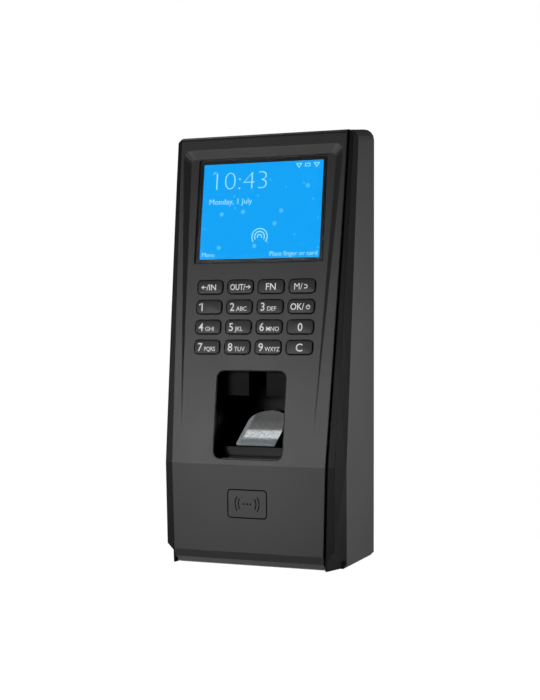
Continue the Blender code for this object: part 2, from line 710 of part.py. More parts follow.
def build_rear_casing():
    """Model the rear casing: a hollow box with a plate recess, screw tubes, posts and windows."""
    casing = facing_side("rear_casing", [casing_outer_profile()], -CASING_HALF, CASING_HALF)

    def top_edge(a, b):
        return (abs(a.x - b.x) < 1e-6 and abs(a.y - b.y) > 5 * MM
                and min(a.z, b.z) > 150 * MM)

    def foot_edge(a, b):
        return abs(a.x - b.x) < 1e-6 and abs(a.y - b.y) > 5 * MM and max(a.z, b.z) < 5 * MM

    bevel_edges(casing, CASING_TOP_RADIUS, top_edge, 4)
    bevel_edges(casing, CASING_FOOT_CHAMFER, foot_edge)
    hollow = facing_side("casing_hollow", [casing_hollow_profile()],
                         -CASING_HALF + CASING_WALL, CASING_HALF - CASING_WALL,
                         collection=CUTTERS)
    bevel_edges(hollow, HOLLOW_TOP_CHAMFER, top_edge)
    cut(casing, hollow)
    for index, (x, height) in enumerate(COVER_BOSSES):
        end = boss_end(height) + GAP
        boolean(casing, "UNION", rod(f"tube_{index}", 3.5 * MM, end, -BACK_WALL_TO + 0.5 * MM,
                                     x, height, collection=CUTTERS))
    for index, (x, height) in enumerate(BOARD_POSTS):
        boolean(casing, "UNION", rod(f"post_{index}", 2.6 * MM, -MAIN_BOARD_DEPTH + GAP,
                                     -BACK_WALL_TO + 0.5 * MM, x, height, collection=CUTTERS))
    boolean(casing, "UNION", facing_up("screw_boss", [circle(5 * MM, (0, -SCREW_DEPTH))],
                                       CASING_FOOT_BACK + 1 * MM, 8.2 * MM, collection=CUTTERS))
    cut(casing, *casing_cutters())
    paint("casing_grey", casing)


def casing_outer_profile():
    """Return the casing's outer side outline."""
    joint = JOINT_SETBACK + GAP
    return [(-CASING_BACK, CASING_FOOT_BACK), (-CASING_BACK, top_height(-CASING_BACK)),
            top_point(JOINT_TOP_SETBACK + GAP), crease_point(joint),
            foot_point(joint, CASING_FOOT)]


def casing_hollow_profile():
    """Return the side outline of the casing's hollow, open at the front."""
    front = JOINT_SETBACK - 8 * MM
    foot = CASING_FOOT_BACK + CASING_WALL
    return [(-BACK_WALL_TO, foot), (-BACK_WALL_TO, top_height(-BACK_WALL_TO, CASING_WALL)),
            top_point(front, CASING_WALL), crease_point(front),
            foot_point(front, CASING_FOOT + CASING_WALL)]


def casing_cutters():
    """Yield what is cut from the casing's back and foot."""
    recess = round_corners(rectangle((-PLATE_RECESS_HALF, PLATE_RECESS_HALF),
                                     (PLATE_RECESS_FOOT, PLATE_RECESS_TOP)), 3 * MM, 2)
    yield facing_front("plate_recess", [recess], 5 * MM, -BACK_WALL_FROM, collection=CUTTERS)
    windows = [rectangle((-BAY_HALF, BAY_HALF), (BAY_FOOT, BAY_TOP)),
               circle(2.1 * MM, (TAMPER_X, TAMPER_HEIGHT)),
               rectangle((-TAB_HALF - 1 * MM, TAB_HALF + 1 * MM),
                         (PLATE_FOOT - 0.6 * MM, PLATE_FOOT + 3 * MM))]
    for side in (-1, 1):
        x = side * HOOK_X
        windows.append(rectangle((x - HOOK_WIDTH / 2 - 1 * MM, x + HOOK_WIDTH / 2 + 1 * MM),
                                 (HOOK_HEIGHT - 2 * MM, HOOK_HEIGHT + 7 * MM)))
    yield facing_front("back_windows", windows, 5 * MM, -BACK_WALL_TO - 1 * MM,
                       collection=CUTTERS)
    for index, (x, height) in enumerate(COVER_BOSSES):
        end = boss_end(height) + GAP
        yield rod(f"tube_bore_{index}", 2.7 * MM, end + 2 * MM, 5 * MM, x, height,
                  collection=CUTTERS)
        yield rod(f"tube_hole_{index}", 1.6 * MM, end - 1 * MM, 0, x, height, 8,
                  collection=CUTTERS)
    for index, (x, height) in enumerate(BOARD_POSTS):
        yield rod(f"post_hole_{index}", 1.3 * MM, -MAIN_BOARD_DEPTH - 1 * MM, -7 * MM, x, height, 8,
                  collection=CUTTERS)
    yield facing_up("screw_seat", [circle(3.2 * MM, (0, -SCREW_DEPTH))], -2 * MM, 6.2 * MM,
                    collection=CUTTERS)
    yield facing_up("screw_hole", [circle(1.9 * MM, (0, -SCREW_DEPTH))], 5 * MM, 9 * MM,
                    collection=CUTTERS)


# ---------------------------------------------------------------- fingerprint sensor

def ramp_tilt():
    """Return the angle between the sensor's ramp and the vertical."""
    return math.atan2(SILL_DEPTH - RAMP_TOP_DEPTH, RAMP_TOP_HEIGHT - SILL_HEIGHT)


def platen_outline(grow=0.0):
    """Return the sensing surface's outline: a rectangle with a round upper end."""
    half = PLATEN_WIDTH / 2 + grow
    foot = -PLATEN_LENGTH / 2 - grow
    spring = PLATEN_LENGTH / 2 + grow - half * 0.82
    arc = [(half * math.cos(math.pi * step / 8), spring + half * 0.82 * math.sin(math.pi * step / 8))
           for step in range(9)]
    return [(-half, foot), (half, foot)] + arc


def well_profile(grow):
    """Return the side outline of the well's hollow, or its outside when grown."""
    front_setback = COVER_THICKNESS + GAP - (8 * MM if not grow else 0)
    floor = WELL_FLOOR - grow
    ceiling = WELL_CEILING + grow
    shift = grow * 0.45
    ramp_drop = RAMP_THICKNESS * 1.42 if grow else 0.0
    return [(surface_y(floor, front_setback), floor),
            (surface_y(ceiling, front_setback), ceiling),
            (-WELL_BACK_DEPTH + grow, ceiling),
            (-WELL_BACK_DEPTH + grow, RAMP_TOP_HEIGHT - shift - ramp_drop * 0.5),
            (-RAMP_TOP_DEPTH + shift, RAMP_TOP_HEIGHT - ramp_drop),
            (-SILL_DEPTH + grow, SILL_HEIGHT - ramp_drop * 0.6),
            (-SILL_DEPTH + grow, floor)]


def build_well():
    """Model the glossy well around the finger, with the ramp that carries the sensor."""
    outer = WELL_HALF + WELL_WALL
    well = facing_side("sensor_well", [well_profile(WELL_WALL)], -outer, outer)
    cut(well, facing_side("well_hollow", [well_profile(0)], -WELL_HALF, WELL_HALF,
                          collection=CUTTERS),
        facing_front("platen_hole", [platen_outline(GAP)], -4 * MM, 9 * MM, RAMP, CUTTERS))
    paint("gloss_black", well)

    width = (2 * WELL_HALF - 2 * GAP - GUIDE_SLOT) / 2
    for side, name in ((-1, "finger_guide_left"), (1, "finger_guide_right")):
        x = side * (GUIDE_SLOT + width) / 2
        pad = box(name, (x - width / 2, x + width / 2),
                  (-GUIDE_DEPTH, -GUIDE_DEPTH + GUIDE_THICKNESS),
                  (GUIDE_FOOT, WELL_CEILING - GAP))
        paint("gloss_black", pad)


def build_sensor():
    """Model the prism, its lamp strip, the camera under it and the sensor's board."""
    prism = facing_front("sensor_prism", [platen_outline()], -PLATEN_PROUD,
                         PRISM_THICKNESS - PLATEN_PROUD, RAMP)
    lamp = box("sensor_lamp_strip", (-7 * MM, 7 * MM), (4.8 * MM, 5.8 * MM), (-9 * MM, -4 * MM),
               RAMP)
    camera = box("sensor_camera", (-6 * MM, 6 * MM), (9 * MM, 17 * MM), (-5 * MM, 7 * MM), RAMP)
    barrel = rod("camera_barrel", 3.4 * MM, 7 * MM, 9.5 * MM, 0, 1 * MM, 12, RAMP, CUTTERS)
    boolean(camera, "UNION", barrel)
    board = box("sensor_board", (-13 * MM, 13 * MM), (17.3 * MM, 18.5 * MM), (-11 * MM, 12 * MM),
                RAMP)
    paint("platen", prism)
    paint("board_green", lamp, board)
    paint("chip_black", camera)


# ---------------------------------------------------------------- electronics

def build_main_board():
    """Model the main board and the parts soldered to it."""
    outline = round_corners(rectangle((-MAIN_BOARD_HALF, MAIN_BOARD_HALF),
                                      (MAIN_BOARD_FOOT, MAIN_BOARD_TOP)), 1.5 * MM, 1)
    holes = [circle(1.6 * MM, place, 8) for place in BOARD_POSTS]
    back = -MAIN_BOARD_DEPTH
    front = back - BOARD_THICKNESS
    board = facing_front("main_board", [outline] + holes, back, front)
    paint("board_green", board)
    face = front - GAP
    processor = box("processor", (-9 * MM, 7 * MM), (face - 1.4 * MM, face), (146 * MM, 162 * MM))
    memory = box("flash_memory", (11 * MM, 21 * MM), (face - 1.0 * MM, face),
                 (150 * MM, 158 * MM))
    relay = box("relay", (-25 * MM, -6 * MM), (face - 10 * MM, face), (101 * MM, 116.5 * MM))
    buzzer = rod("buzzer", 4.5 * MM, face - 5 * MM, face, 20 * MM, 135 * MM, 16)
    holder = facing_front("coin_cell_holder", [circle(11.6 * MM, (9 * MM, 112 * MM), 16),
                                               circle(10.35 * MM, (9 * MM, 112 * MM), 16)],
                          face - 3.6 * MM, face)
    cell = rod("coin_cell", 10 * MM, face - 3.4 * MM, face - 0.2 * MM, 9 * MM, 112 * MM, 16)
    smooth(buzzer, holder, cell)
    paint("chip_black", processor, memory, buzzer, holder)
    paint("relay_blue", relay)
    paint("steel", cell)


def build_connectors():
    """Model the network socket and the wiring terminals, which face the wall."""
    back = -MAIN_BOARD_DEPTH + GAP
    half = SOCKET_SIDE / 2
    socket = box("network_socket", (SOCKET_X - half, SOCKET_X + half), (back, -CONNECTOR_DEPTH),
                 (SOCKET_HEIGHT - half, SOCKET_HEIGHT + half))
    port = rounded_rectangle(*SOCKET_PORT, 0.3 * MM, (SOCKET_X, SOCKET_HEIGHT), 1)
    cut(socket, facing_front("socket_port", [port], 0, -13 * MM, collection=CUTTERS))
    paint("steel", socket)

    half = TERMINALS * TERMINAL_PITCH / 2 + 1 * MM
    terminals = box("terminal_block", (TERMINAL_X - half, TERMINAL_X + half),
                    (back, -CONNECTOR_DEPTH - 1 * MM), (SOCKET_HEIGHT - 5 * MM, SOCKET_HEIGHT + 5 * MM))
    mouths = []
    for index in range(TERMINALS):
        x = TERMINAL_X + (index - (TERMINALS - 1) / 2) * TERMINAL_PITCH
        mouths.append(rounded_rectangle(2.6 * MM, 2.6 * MM, 0, (x, SOCKET_HEIGHT - 1.6 * MM)))
    cut(terminals, facing_front("wire_mouths", mouths, 0, -11 * MM, collection=CUTTERS))
    paint("terminal_green", terminals)


def build_tamper_switch():
    """Model the switch that feels the wall plate, and its sprung plunger."""
    half = 3.5 * MM
    switch_face = -11.6 * MM
    switch = box("tamper_switch", (TAMPER_X - half, TAMPER_X + half),
                 (-MAIN_BOARD_DEPTH + GAP, switch_face), (TAMPER_HEIGHT - half, TAMPER_HEIGHT + half))
    tip = -PLATE_THICKNESS - GAP
    inner_end = switch_face + TAMPER_TRAVEL + GAP
    plunger = rod("tamper_plunger", 1.7 * MM, inner_end, tip, 0, 0, 12)
    boolean(plunger, "UNION", rod("plunger_collar", 2.9 * MM, -6.4 * MM, -5.2 * MM, 0, 0, 12,
                                  plunger, CUTTERS))
    plunger.location = (TAMPER_X, 0, TAMPER_HEIGHT)
    smooth(plunger)
    paint("chip_black", switch)
    paint("bracket_white", plunger)


def build_card_antenna():
    """Model the flat coil board behind the lower face."""
    outline = [round_corners(rectangle((-24 * MM, 24 * MM), (8.5 * MM, 38 * MM)), 2 * MM, 2)]
    antenna = facing_front("card_antenna", outline, -44.6 * MM, -45.6 * MM)
    paint("board_green", antenna)


def ribbon(name, width, x, path):
    """Add a flat cable along a path of (y, z) points, as a strip with thickness."""
    bm = bmesh.new()
    verts = [bm.verts.new((x - width / 2, y, z)) for y, z in path]
    edges = [bm.edges.new(pair) for pair in zip(verts, verts[1:])]
    moved = bmesh.ops.extrude_edge_only(bm, edges=edges)["geom"]
    moved = [item for item in moved if isinstance(item, bmesh.types.BMVert)]
    bmesh.ops.translate(bm, verts=moved, vec=(width, 0, 0))
    mesh = bpy.data.meshes.new(name)
    bm.to_mesh(mesh)
    bm.free()
    strip = add_object(name, mesh, TERMINAL)
    solidify = strip.modifiers.new("thickness", "SOLIDIFY")
    solidify.thickness = 0.2 * MM
    solidify.offset = 0
    paint("ribbon_amber", strip)


def build_ribbons():
    """Model the flat cables from the display, the keypad and the sensor to the main board."""
    face = -MAIN_BOARD_DEPTH - BOARD_THICKNESS - 0.5 * MM
    ribbon("lcd_ribbon", 14 * MM, 0, [(-27.5 * MM, 139 * MM), (-25.5 * MM, 134 * MM),
                                      (-22 * MM, 131 * MM), (face, 133 * MM), (face, 139 * MM)])
    ribbon("keypad_ribbon", 10 * MM, 24.5 * MM, [(-34.2 * MM, 94 * MM), (-31 * MM, 92.5 * MM),
                                                 (-24 * MM, 93 * MM), (face, 100 * MM),
                                                 (face, 106 * MM)])
    ribbon("sensor_ribbon", 8 * MM, -9 * MM, [(-10.5 * MM, 56 * MM), (-9.5 * MM, 66 * MM),
                                              (-12 * MM, 84 * MM), (-14 * MM, 88 * MM),
                                              (-18.6 * MM, 90 * MM), (face - 1 * MM, 94 * MM),
                                              (face, 99 * MM)])


# ---------------------------------------------------------------- wall plate and screws

def build_wall_plate():
    """Model the steel plate: wall screw holes, cable window, two hooks and a screw tab."""
    outline = round_corners(rectangle((-PLATE_HALF, PLATE_HALF), (PLATE_FOOT, PLATE_TOP)), 3 * MM, 3)
    holes = [round_corners(rectangle((-BAY_HALF - 1 * MM, BAY_HALF + 1 * MM),
                                     (BAY_FOOT - 1 * MM, BAY_TOP + 1 * MM)), 3 * MM, 2)]
    for x in (-26 * MM, 26 * MM):
        holes.append(circle(2.2 * MM, (x, 28 * MM), 12))
        holes.append(circle(2.2 * MM, (x, 178 * MM), 12))
    holes.append(circle(2.2 * MM, (0, 60 * MM), 12))
    holes.append(rounded_rectangle(9 * MM, 4.4 * MM, 2.1 * MM, (0, 150 * MM), 3))
    plate = facing_front("wall_plate", [outline] + holes, 0, -PLATE_THICKNESS)
    slots = [rectangle((side * HOOK_X - HOOK_WIDTH / 2 - 0.6 * MM,
                        side * HOOK_X + HOOK_WIDTH / 2 + 0.6 * MM),
                       (HOOK_HEIGHT + PLATE_THICKNESS + GAP, HOOK_HEIGHT + 9 * MM))
             for side in (-1, 1)]
    cut(plate, facing_front("hook_slots", slots, 2 * MM, -3 * MM, collection=CUTTERS))
    for side in (-1, 1):
        x = side * HOOK_X
        hook = [(-0.2 * MM, HOOK_HEIGHT), (-6.6 * MM, HOOK_HEIGHT), (-6.6 * MM, HOOK_HEIGHT + 5 * MM),
                (-5.1 * MM, HOOK_HEIGHT + 5 * MM), (-5.1 * MM, HOOK_HEIGHT + PLATE_THICKNESS),
                (-0.2 * MM, HOOK_HEIGHT + PLATE_THICKNESS)]
        boolean(plate, "UNION", facing_side(f"hook_{side}", [hook], x - HOOK_WIDTH / 2,
                                            x + HOOK_WIDTH / 2, collection=CUTTERS))
    tab = box("screw_tab", (-TAB_HALF, TAB_HALF), (-TAB_REACH, -0.2 * MM),
              (PLATE_FOOT + 0.2 * MM, PLATE_FOOT + 0.2 * MM + PLATE_THICKNESS), collection=CUTTERS)
    boolean(plate, "UNION", tab)
    cut(plate, facing_up("tab_hole", [circle(1.9 * MM, (0, -SCREW_DEPTH))], 5 * MM, 15 * MM,
                         collection=CUTTERS))
    paint("steel", plate)


def screw_mesh(head_radius, head_height, shank_radius, length):
    """Return a screw along +Z with its head at the origin's side, turned from a profile."""
    profile = [(0, 0), (head_radius, 0), (head_radius, -head_height), (shank_radius, -head_height),
               (shank_radius, -head_height - length), (0, -head_height - length)]
    guide = bpy.data.meshes.new("screw_profile")
    guide.from_pydata([(x, 0, z) for x, z in profile],
                      [(i, i + 1) for i in range(len(profile) - 1)], [])
    turned = bpy.data.objects.new("screw_profile", guide)
    bpy.context.scene.collection.objects.link(turned)
    screw = turned.modifiers.new("turn", "SCREW")
    screw.steps = 12
    screw.render_steps = 12
    screw.use_merge_vertices = True
    screw.merge_threshold = 0.01 * MM
    evaluated = turned.evaluated_get(bpy.context.evaluated_depsgraph_get())
    mesh = bpy.data.meshes.new_from_object(evaluated)
    bpy.data.objects.remove(turned)
    return mesh


def place_screw(name, mesh, location, turn):
    """Make a screw of its own, turned about X from pointing down."""
    screw = add_object(name, mesh.copy(), TERMINAL)
    screw.data.name = name
    screw.location = location
    screw.rotation_euler = (turn, 0, 0)
    smooth(screw)
    paint("steel", screw)


def build_screws():
    """Model the locking screw and the two sets of assembly screws."""
    from_behind = math.radians(-90)
    from_front = math.radians(90)
    from_below = math.radians(180)
    cover_screw = screw_mesh(2.3 * MM, 1.8 * MM, 1.0 * MM, 8 * MM)
    for index, (x, height) in enumerate(COVER_BOSSES, 1):
        seat = boss_end(height) + GAP + 2 * MM + GAP
        place_screw(f"cover_screw_{index}", cover_screw, (x, seat + 1.8 * MM, height), from_behind)
    board_screw = screw_mesh(2.2 * MM, 1.4 * MM, 1.0 * MM, 7 * MM)
    board_front = -MAIN_BOARD_DEPTH - BOARD_THICKNESS - GAP
    for index, (x, height) in enumerate(BOARD_POSTS, 1):
        place_screw(f"board_screw_{index}", board_screw, (x, board_front - 1.4 * MM, height),
                    from_front)
    place_screw("locking_screw", screw_mesh(2.8 * MM, 2.2 * MM, 1.5 * MM, 8 * MM),
                (0, -SCREW_DEPTH, 3.6 * MM), from_below)


# ---------------------------------------------------------------- assembly

clear_scene()
PARTS = new_collection("fingerprint_terminal")
CUTTERS = new_collection("fingerprint_terminal_cutters")
TERMINAL = new_empty("terminal_frame", None, (0, 0, -(TOP_HEIGHT + FOOT_HEIGHT) / 2))
CENTRE = new_empty("centre_plane", TERMINAL,
                   (0, -cover_depth(CENTRE_FOOT_HEIGHT), CENTRE_FOOT_HEIGHT), CENTRE_TILT)
RAMP = new_empty("ramp_plane", TERMINAL, (0, -(SILL_DEPTH + RAMP_TOP_DEPTH) / 2,
                                          (SILL_HEIGHT + RAMP_TOP_HEIGHT) / 2), ramp_tilt())
bpy.context.view_layer.update()

build_front_cover()
build_screen()
build_keys()
build_keypad_stack()
build_trim()
build_rear_casing()
build_well()
build_sensor()
build_main_board()
build_connectors()
build_tamper_switch()
build_card_antenna()
build_ribbons()
build_wall_plate()
build_screws()
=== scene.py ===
# %% [markdown]
# # A fingerprint terminal, finished for the camera
# The shapes of this wall terminal are already modelled as CAD. This lesson loads them as a fixed frame,
# gives every piece a procedural finish, and models what CAD leaves out: soft key caps with printed
# legends, a lit display, the card mark and the small hardware. Lengths are in metres.

# %% Load the frame
import json
import math

import bmesh
import bpy
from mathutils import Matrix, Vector


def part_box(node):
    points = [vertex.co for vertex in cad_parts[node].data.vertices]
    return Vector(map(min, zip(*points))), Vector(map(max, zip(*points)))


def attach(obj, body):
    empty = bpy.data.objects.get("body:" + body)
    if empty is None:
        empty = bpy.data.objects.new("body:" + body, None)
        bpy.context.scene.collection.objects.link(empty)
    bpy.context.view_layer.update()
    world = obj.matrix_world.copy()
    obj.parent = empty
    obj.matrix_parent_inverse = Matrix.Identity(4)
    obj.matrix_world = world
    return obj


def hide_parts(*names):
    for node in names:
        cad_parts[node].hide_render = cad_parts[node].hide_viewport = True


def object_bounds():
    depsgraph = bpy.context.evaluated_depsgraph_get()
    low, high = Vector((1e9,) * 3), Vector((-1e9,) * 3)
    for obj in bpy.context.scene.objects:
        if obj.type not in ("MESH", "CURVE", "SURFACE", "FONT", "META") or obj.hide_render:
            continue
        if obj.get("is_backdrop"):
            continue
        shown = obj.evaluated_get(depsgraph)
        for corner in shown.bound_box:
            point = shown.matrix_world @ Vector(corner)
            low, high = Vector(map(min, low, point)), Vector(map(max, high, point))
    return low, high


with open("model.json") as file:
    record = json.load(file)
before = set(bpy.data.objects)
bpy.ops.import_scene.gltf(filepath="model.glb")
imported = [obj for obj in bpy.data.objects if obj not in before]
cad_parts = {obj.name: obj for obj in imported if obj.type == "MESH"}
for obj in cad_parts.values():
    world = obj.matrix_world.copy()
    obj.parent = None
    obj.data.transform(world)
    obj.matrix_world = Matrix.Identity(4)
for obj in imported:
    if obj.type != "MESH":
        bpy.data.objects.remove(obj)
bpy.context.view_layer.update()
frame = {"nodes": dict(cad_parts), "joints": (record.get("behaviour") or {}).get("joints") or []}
nodes = frame["nodes"]
MM = 0.001

# %% [markdown]
# ## Directions of the front panel
# The upper front leans back a little, and the keys slide square to it. The record gives the sliding
# direction, so the panel's own axes come from there: OUT of the panel, UP along it, and X to the right.

# %% Panel axes and measuring
IN = Vector(next(joint["axis"] for joint in frame["joints"] if joint["name"] == "key_1_press"))
OUT = -IN
UP = Vector((0, -IN.z, IN.y))
RIGHT = Vector((1, 0, 0))
TILT = math.atan2(UP.y, UP.z)


def reach(node, direction):
    """Return the lowest and highest place of a node's points along a direction."""
    places = [vertex.co.dot(direction) for vertex in nodes[node].data.vertices]
    return min(places), max(places)


def front_middle(node):
    """Return the middle of a node's front face, square to the panel."""
    across = sum(reach(node, RIGHT)) / 2
    along = sum(reach(node, UP)) / 2
    return RIGHT * across + UP * along + OUT * reach(node, OUT)[1]


print("panel tilt:", round(math.degrees(TILT), 2), "degrees")

# %% [markdown]
# ## Camera, floor and light
# The camera looks from the right, level with the middle of the terminal. A wide soft lamp stands in front
# on the left, a little raised, and a small one near the foot. A strong one behind on the left draws the
# left edge, and weaker ones light the top and the right side. The floor lies well below, because the real
# thing hangs on a wall.

# %% Camera
CAMERA_PLACE = Vector((0.2605, -0.6334, 0.0047))
CAMERA_TARGET = Vector((0.0008, -0.0261, -0.0028))
scene = bpy.context.scene
scene.view_settings.view_transform = "Standard"


def aim(place, target):
    """Return the turn that looks from one point at another."""
    return (Vector(target) - Vector(place)).to_track_quat("-Z", "Y").to_euler()


bpy.ops.object.camera_add(location=CAMERA_PLACE, rotation=aim(CAMERA_PLACE, CAMERA_TARGET))
camera = bpy.context.object
camera.data.lens = 75.8
camera.data.clip_start = 0.01
scene.camera = camera
print("camera distance:", round((CAMERA_PLACE - CAMERA_TARGET).length, 3))

# %% [markdown]
# The lamps are rectangles of soft light. Each is one row of values. The surroundings add a little light
# of their own, and are white to the camera.

# %% Lamps and surroundings
LAMPS = {
    # name: (place, target, width, height, watts)
    "front_high": ((-0.36, -0.86, 0.10), (0.0, -0.04, -0.02), 0.30, 0.10, 1.9),
    "front_foot": ((-0.16, -0.42, -0.11), (0.0, -0.05, -0.08), 0.12, 0.05, 0.16),
    "rim_left": ((-0.55, 0.16, 0.00), (0.0, 0.0, -0.01), 0.16, 0.60, 24.0),
    "top": ((-0.30, 0.00, 0.55), (0.0, -0.03, 0.09), 0.30, 0.20, 0.5),
    "right": ((0.32, 0.08, -0.02), (0.04, -0.02, -0.02), 0.12, 0.12, 0.85),
}
for name, (place, target, width, height, watts) in LAMPS.items():
    bpy.ops.object.light_add(type="AREA", location=place, rotation=aim(place, target))
    lamp = bpy.context.object
    lamp.name = name
    lamp.data.shape = "RECTANGLE"
    lamp.data.size, lamp.data.size_y, lamp.data.energy = width, height, watts
print("lamps:", len(LAMPS))

AMBIENT = 0.08                      # how bright the surroundings are as light
world = bpy.data.worlds.new("studio")
world.use_nodes = True
scene.world = world
tree = world.node_tree
background = tree.nodes["Background"]
light_path = tree.nodes.new("ShaderNodeLightPath")
level = tree.nodes.new("ShaderNodeMapRange")
level.inputs["To Min"].default_value = AMBIENT
tree.links.new(light_path.outputs["Is Camera Ray"], level.inputs["Value"])
tree.links.new(level.outputs["Result"], background.inputs["Strength"])
background.inputs["Color"].default_value = (1, 1, 1, 1)
print("surroundings:", AMBIENT, "as light, white to the camera")

# %% [markdown]
# The floor is a plain pale sheet. It glows white for the camera only, and its own colour is held dim so
# that it throws little light up onto the terminal's foot.

# %% Floor
FLOOR_Z = -0.30
bpy.ops.mesh.primitive_plane_add(size=3.0, location=(0, 0, FLOOR_Z))
floor = bpy.context.object
floor.name = "studio_floor"
paper = bpy.data.materials.new("pale_floor")
paper.use_nodes = True
tree = paper.node_tree
shader = tree.nodes["Principled BSDF"]
shader.inputs["Base Color"].default_value = (0.22, 0.22, 0.22, 1)
shader.inputs["Roughness"].default_value = 0.9
shader.inputs["Emission Color"].default_value = (1, 1, 1, 1)
seen = tree.nodes.new("ShaderNodeLightPath")
tree.links.new(seen.outputs["Is Camera Ray"], shader.inputs["Emission Strength"])
floor.data.materials.append(paper)
floor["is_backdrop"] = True
print("floor at", FLOOR_Z)

# %% [markdown]
# ## Effects shared by the finishes
# Real moulded plastic is never flat: it has a fine spark-eroded grain, slightly uneven gloss, softly
# rounded edges that come out paler, partly as wear and partly as a painted highlight, and a little dust
# on ledges. Each effect is one node group, placed in every material with its own values, so a change
# here changes the whole terminal.

# %% Node helpers
def node(tree, kind, **values):
    """Add a shader node; values name its properties, or its inputs."""
    made = tree.nodes.new(kind)
    for key, value in values.items():
        name = key.replace("_", " ").title()
        if name in made.inputs:
            made.inputs[name].default_value = value
        else:
            setattr(made, key, value)
    return made


def new_group(name, inputs, outputs):
    """Start a node group with float inputs, and outputs as (name, kind)."""
    group = bpy.data.node_groups.new(name, "ShaderNodeTree")
    for socket, value in inputs:
        made = group.interface.new_socket(socket, in_out="INPUT", socket_type="NodeSocketFloat")
        made.default_value = value
    for socket, kind in outputs:
        group.interface.new_socket(socket, in_out="OUTPUT", socket_type=f"NodeSocket{kind}")
    return group, group.nodes.new("NodeGroupInput"), group.nodes.new("NodeGroupOutput")


def math_node(tree, operation, first, second):
    """Add a maths node whose inputs are sockets or numbers, and return its output."""
    made = node(tree, "ShaderNodeMath", operation=operation)
    for index, value in enumerate((first, second)):
        if isinstance(value, (int, float)):
            made.inputs[index].default_value = value
        else:
            tree.links.new(value, made.inputs[index])
    return made.outputs[0]


def noise(tree, scale, detail=2.0):
    """Add noise on object coordinates, and return its value; scale is a number or a socket."""
    coordinates = node(tree, "ShaderNodeTexCoord").outputs["Object"]
    made = node(tree, "ShaderNodeTexNoise", detail=detail)
    tree.links.new(coordinates, made.inputs["Vector"])
    if isinstance(scale, (int, float)):
        made.inputs["Scale"].default_value = scale
    else:
        tree.links.new(scale, made.inputs["Scale"])
    return made.outputs["Fac"]


# %% Group: moulded grain
grain_group, entry, leave = new_group(
    "moulded_grain", [("Scale", 2500.0), ("Cloud Scale", 60.0)],
    [("Height", "Float"), ("Cloud", "Float")])
fine = noise(grain_group, entry.outputs["Scale"], 3.0)
pits = node(grain_group, "ShaderNodeTexVoronoi", feature="SMOOTH_F1")
grain_group.links.new(node(grain_group, "ShaderNodeTexCoord").outputs["Object"],
                      pits.inputs["Vector"])
grain_group.links.new(entry.outputs["Scale"], pits.inputs["Scale"])
mixed = math_node(grain_group, "ADD", math_node(grain_group, "MULTIPLY", fine, 0.6),
                  math_node(grain_group, "MULTIPLY", pits.outputs["Distance"], 0.4))
grain_group.links.new(mixed, leave.inputs["Height"])
grain_group.links.new(noise(grain_group, entry.outputs["Cloud Scale"], 3.0), leave.inputs["Cloud"])
print(grain_group.name, "ready")

# %% Group: rounded edges, worn and with a painted highlight
wear_and_highlight_group, entry, leave = new_group(
    "edge_wear_and_highlight", [("Radius", 0.0003), ("Amount", 0.5)], [("Mask", "Float"), ("Normal", "Vector")])
soft = node(wear_and_highlight_group, "ShaderNodeBevel", samples=4)
wear_and_highlight_group.links.new(entry.outputs["Radius"], soft.inputs["Radius"])
facing = node(wear_and_highlight_group, "ShaderNodeVectorMath", operation="DOT_PRODUCT")
wear_and_highlight_group.links.new(soft.outputs["Normal"], facing.inputs[0])
wear_and_highlight_group.links.new(node(wear_and_highlight_group, "ShaderNodeNewGeometry").outputs["Normal"], facing.inputs[1])
edge = math_node(wear_and_highlight_group, "SUBTRACT", 1.0, facing.outputs["Value"])
spread = node(wear_and_highlight_group, "ShaderNodeMapRange", clamp=True)
spread.inputs["From Max"].default_value = 0.22
wear_and_highlight_group.links.new(edge, spread.inputs["Value"])
broken = node(wear_and_highlight_group, "ShaderNodeMapRange", clamp=True)
broken.inputs["From Min"].default_value = 0.35
broken.inputs["From Max"].default_value = 0.62
wear_and_highlight_group.links.new(noise(wear_and_highlight_group, 420.0, 3.0), broken.inputs["Value"])
# paler edges: partly wear, partly a painted highlight
worn_and_lit = math_node(wear_and_highlight_group, "MULTIPLY", spread.outputs["Result"], broken.outputs["Result"])
wear_and_highlight_group.links.new(math_node(wear_and_highlight_group, "MULTIPLY", worn_and_lit, entry.outputs["Amount"]),
                     leave.inputs["Mask"])
wear_and_highlight_group.links.new(soft.outputs["Normal"], leave.inputs["Normal"])
print(wear_and_highlight_group.name, "ready")

# %% Group: settled dust
dust_group, entry, leave = new_group("settled_dust", [("Amount", 0.2)], [("Mask", "Float")])
split = node(dust_group, "ShaderNodeSeparateXYZ")
dust_group.links.new(node(dust_group, "ShaderNodeNewGeometry").outputs["Normal"],
                     split.inputs["Vector"])
upward = node(dust_group, "ShaderNodeMapRange", clamp=True)
upward.inputs["From Min"].default_value = 0.55
dust_group.links.new(split.outputs["Z"], upward.inputs["Value"])
specks = node(dust_group, "ShaderNodeMapRange", clamp=True)
specks.inputs["From Min"].default_value = 0.45
specks.inputs["From Max"].default_value = 0.75
dust_group.links.new(noise(dust_group, 900.0, 5.0), specks.inputs["Value"])
lying = math_node(dust_group, "MULTIPLY", upward.outputs["Result"], specks.outputs["Result"])
dust_group.links.new(math_node(dust_group, "MULTIPLY", lying, entry.outputs["Amount"]),
                     leave.inputs["Mask"])
print(dust_group.name, "ready")


# %% [markdown]
# ## One recipe for the solid finishes
# Plastic, metal, silicone and circuit board differ in numbers, not in kind: a base colour, a paler colour
# for edges that is partly wear and partly a painted highlight, a gloss that drifts, and a grain of a
# given size and depth. So one function builds them all, and each finish is a line of values.

# %% The recipe
def place_group(tree, group, **values):
    """Place a node group in a material, with its own input values."""
    made = tree.nodes.new("ShaderNodeGroup")
    made.node_tree = group
    for key, value in values.items():
        made.inputs[key.replace("_", " ")].default_value = value
    return made


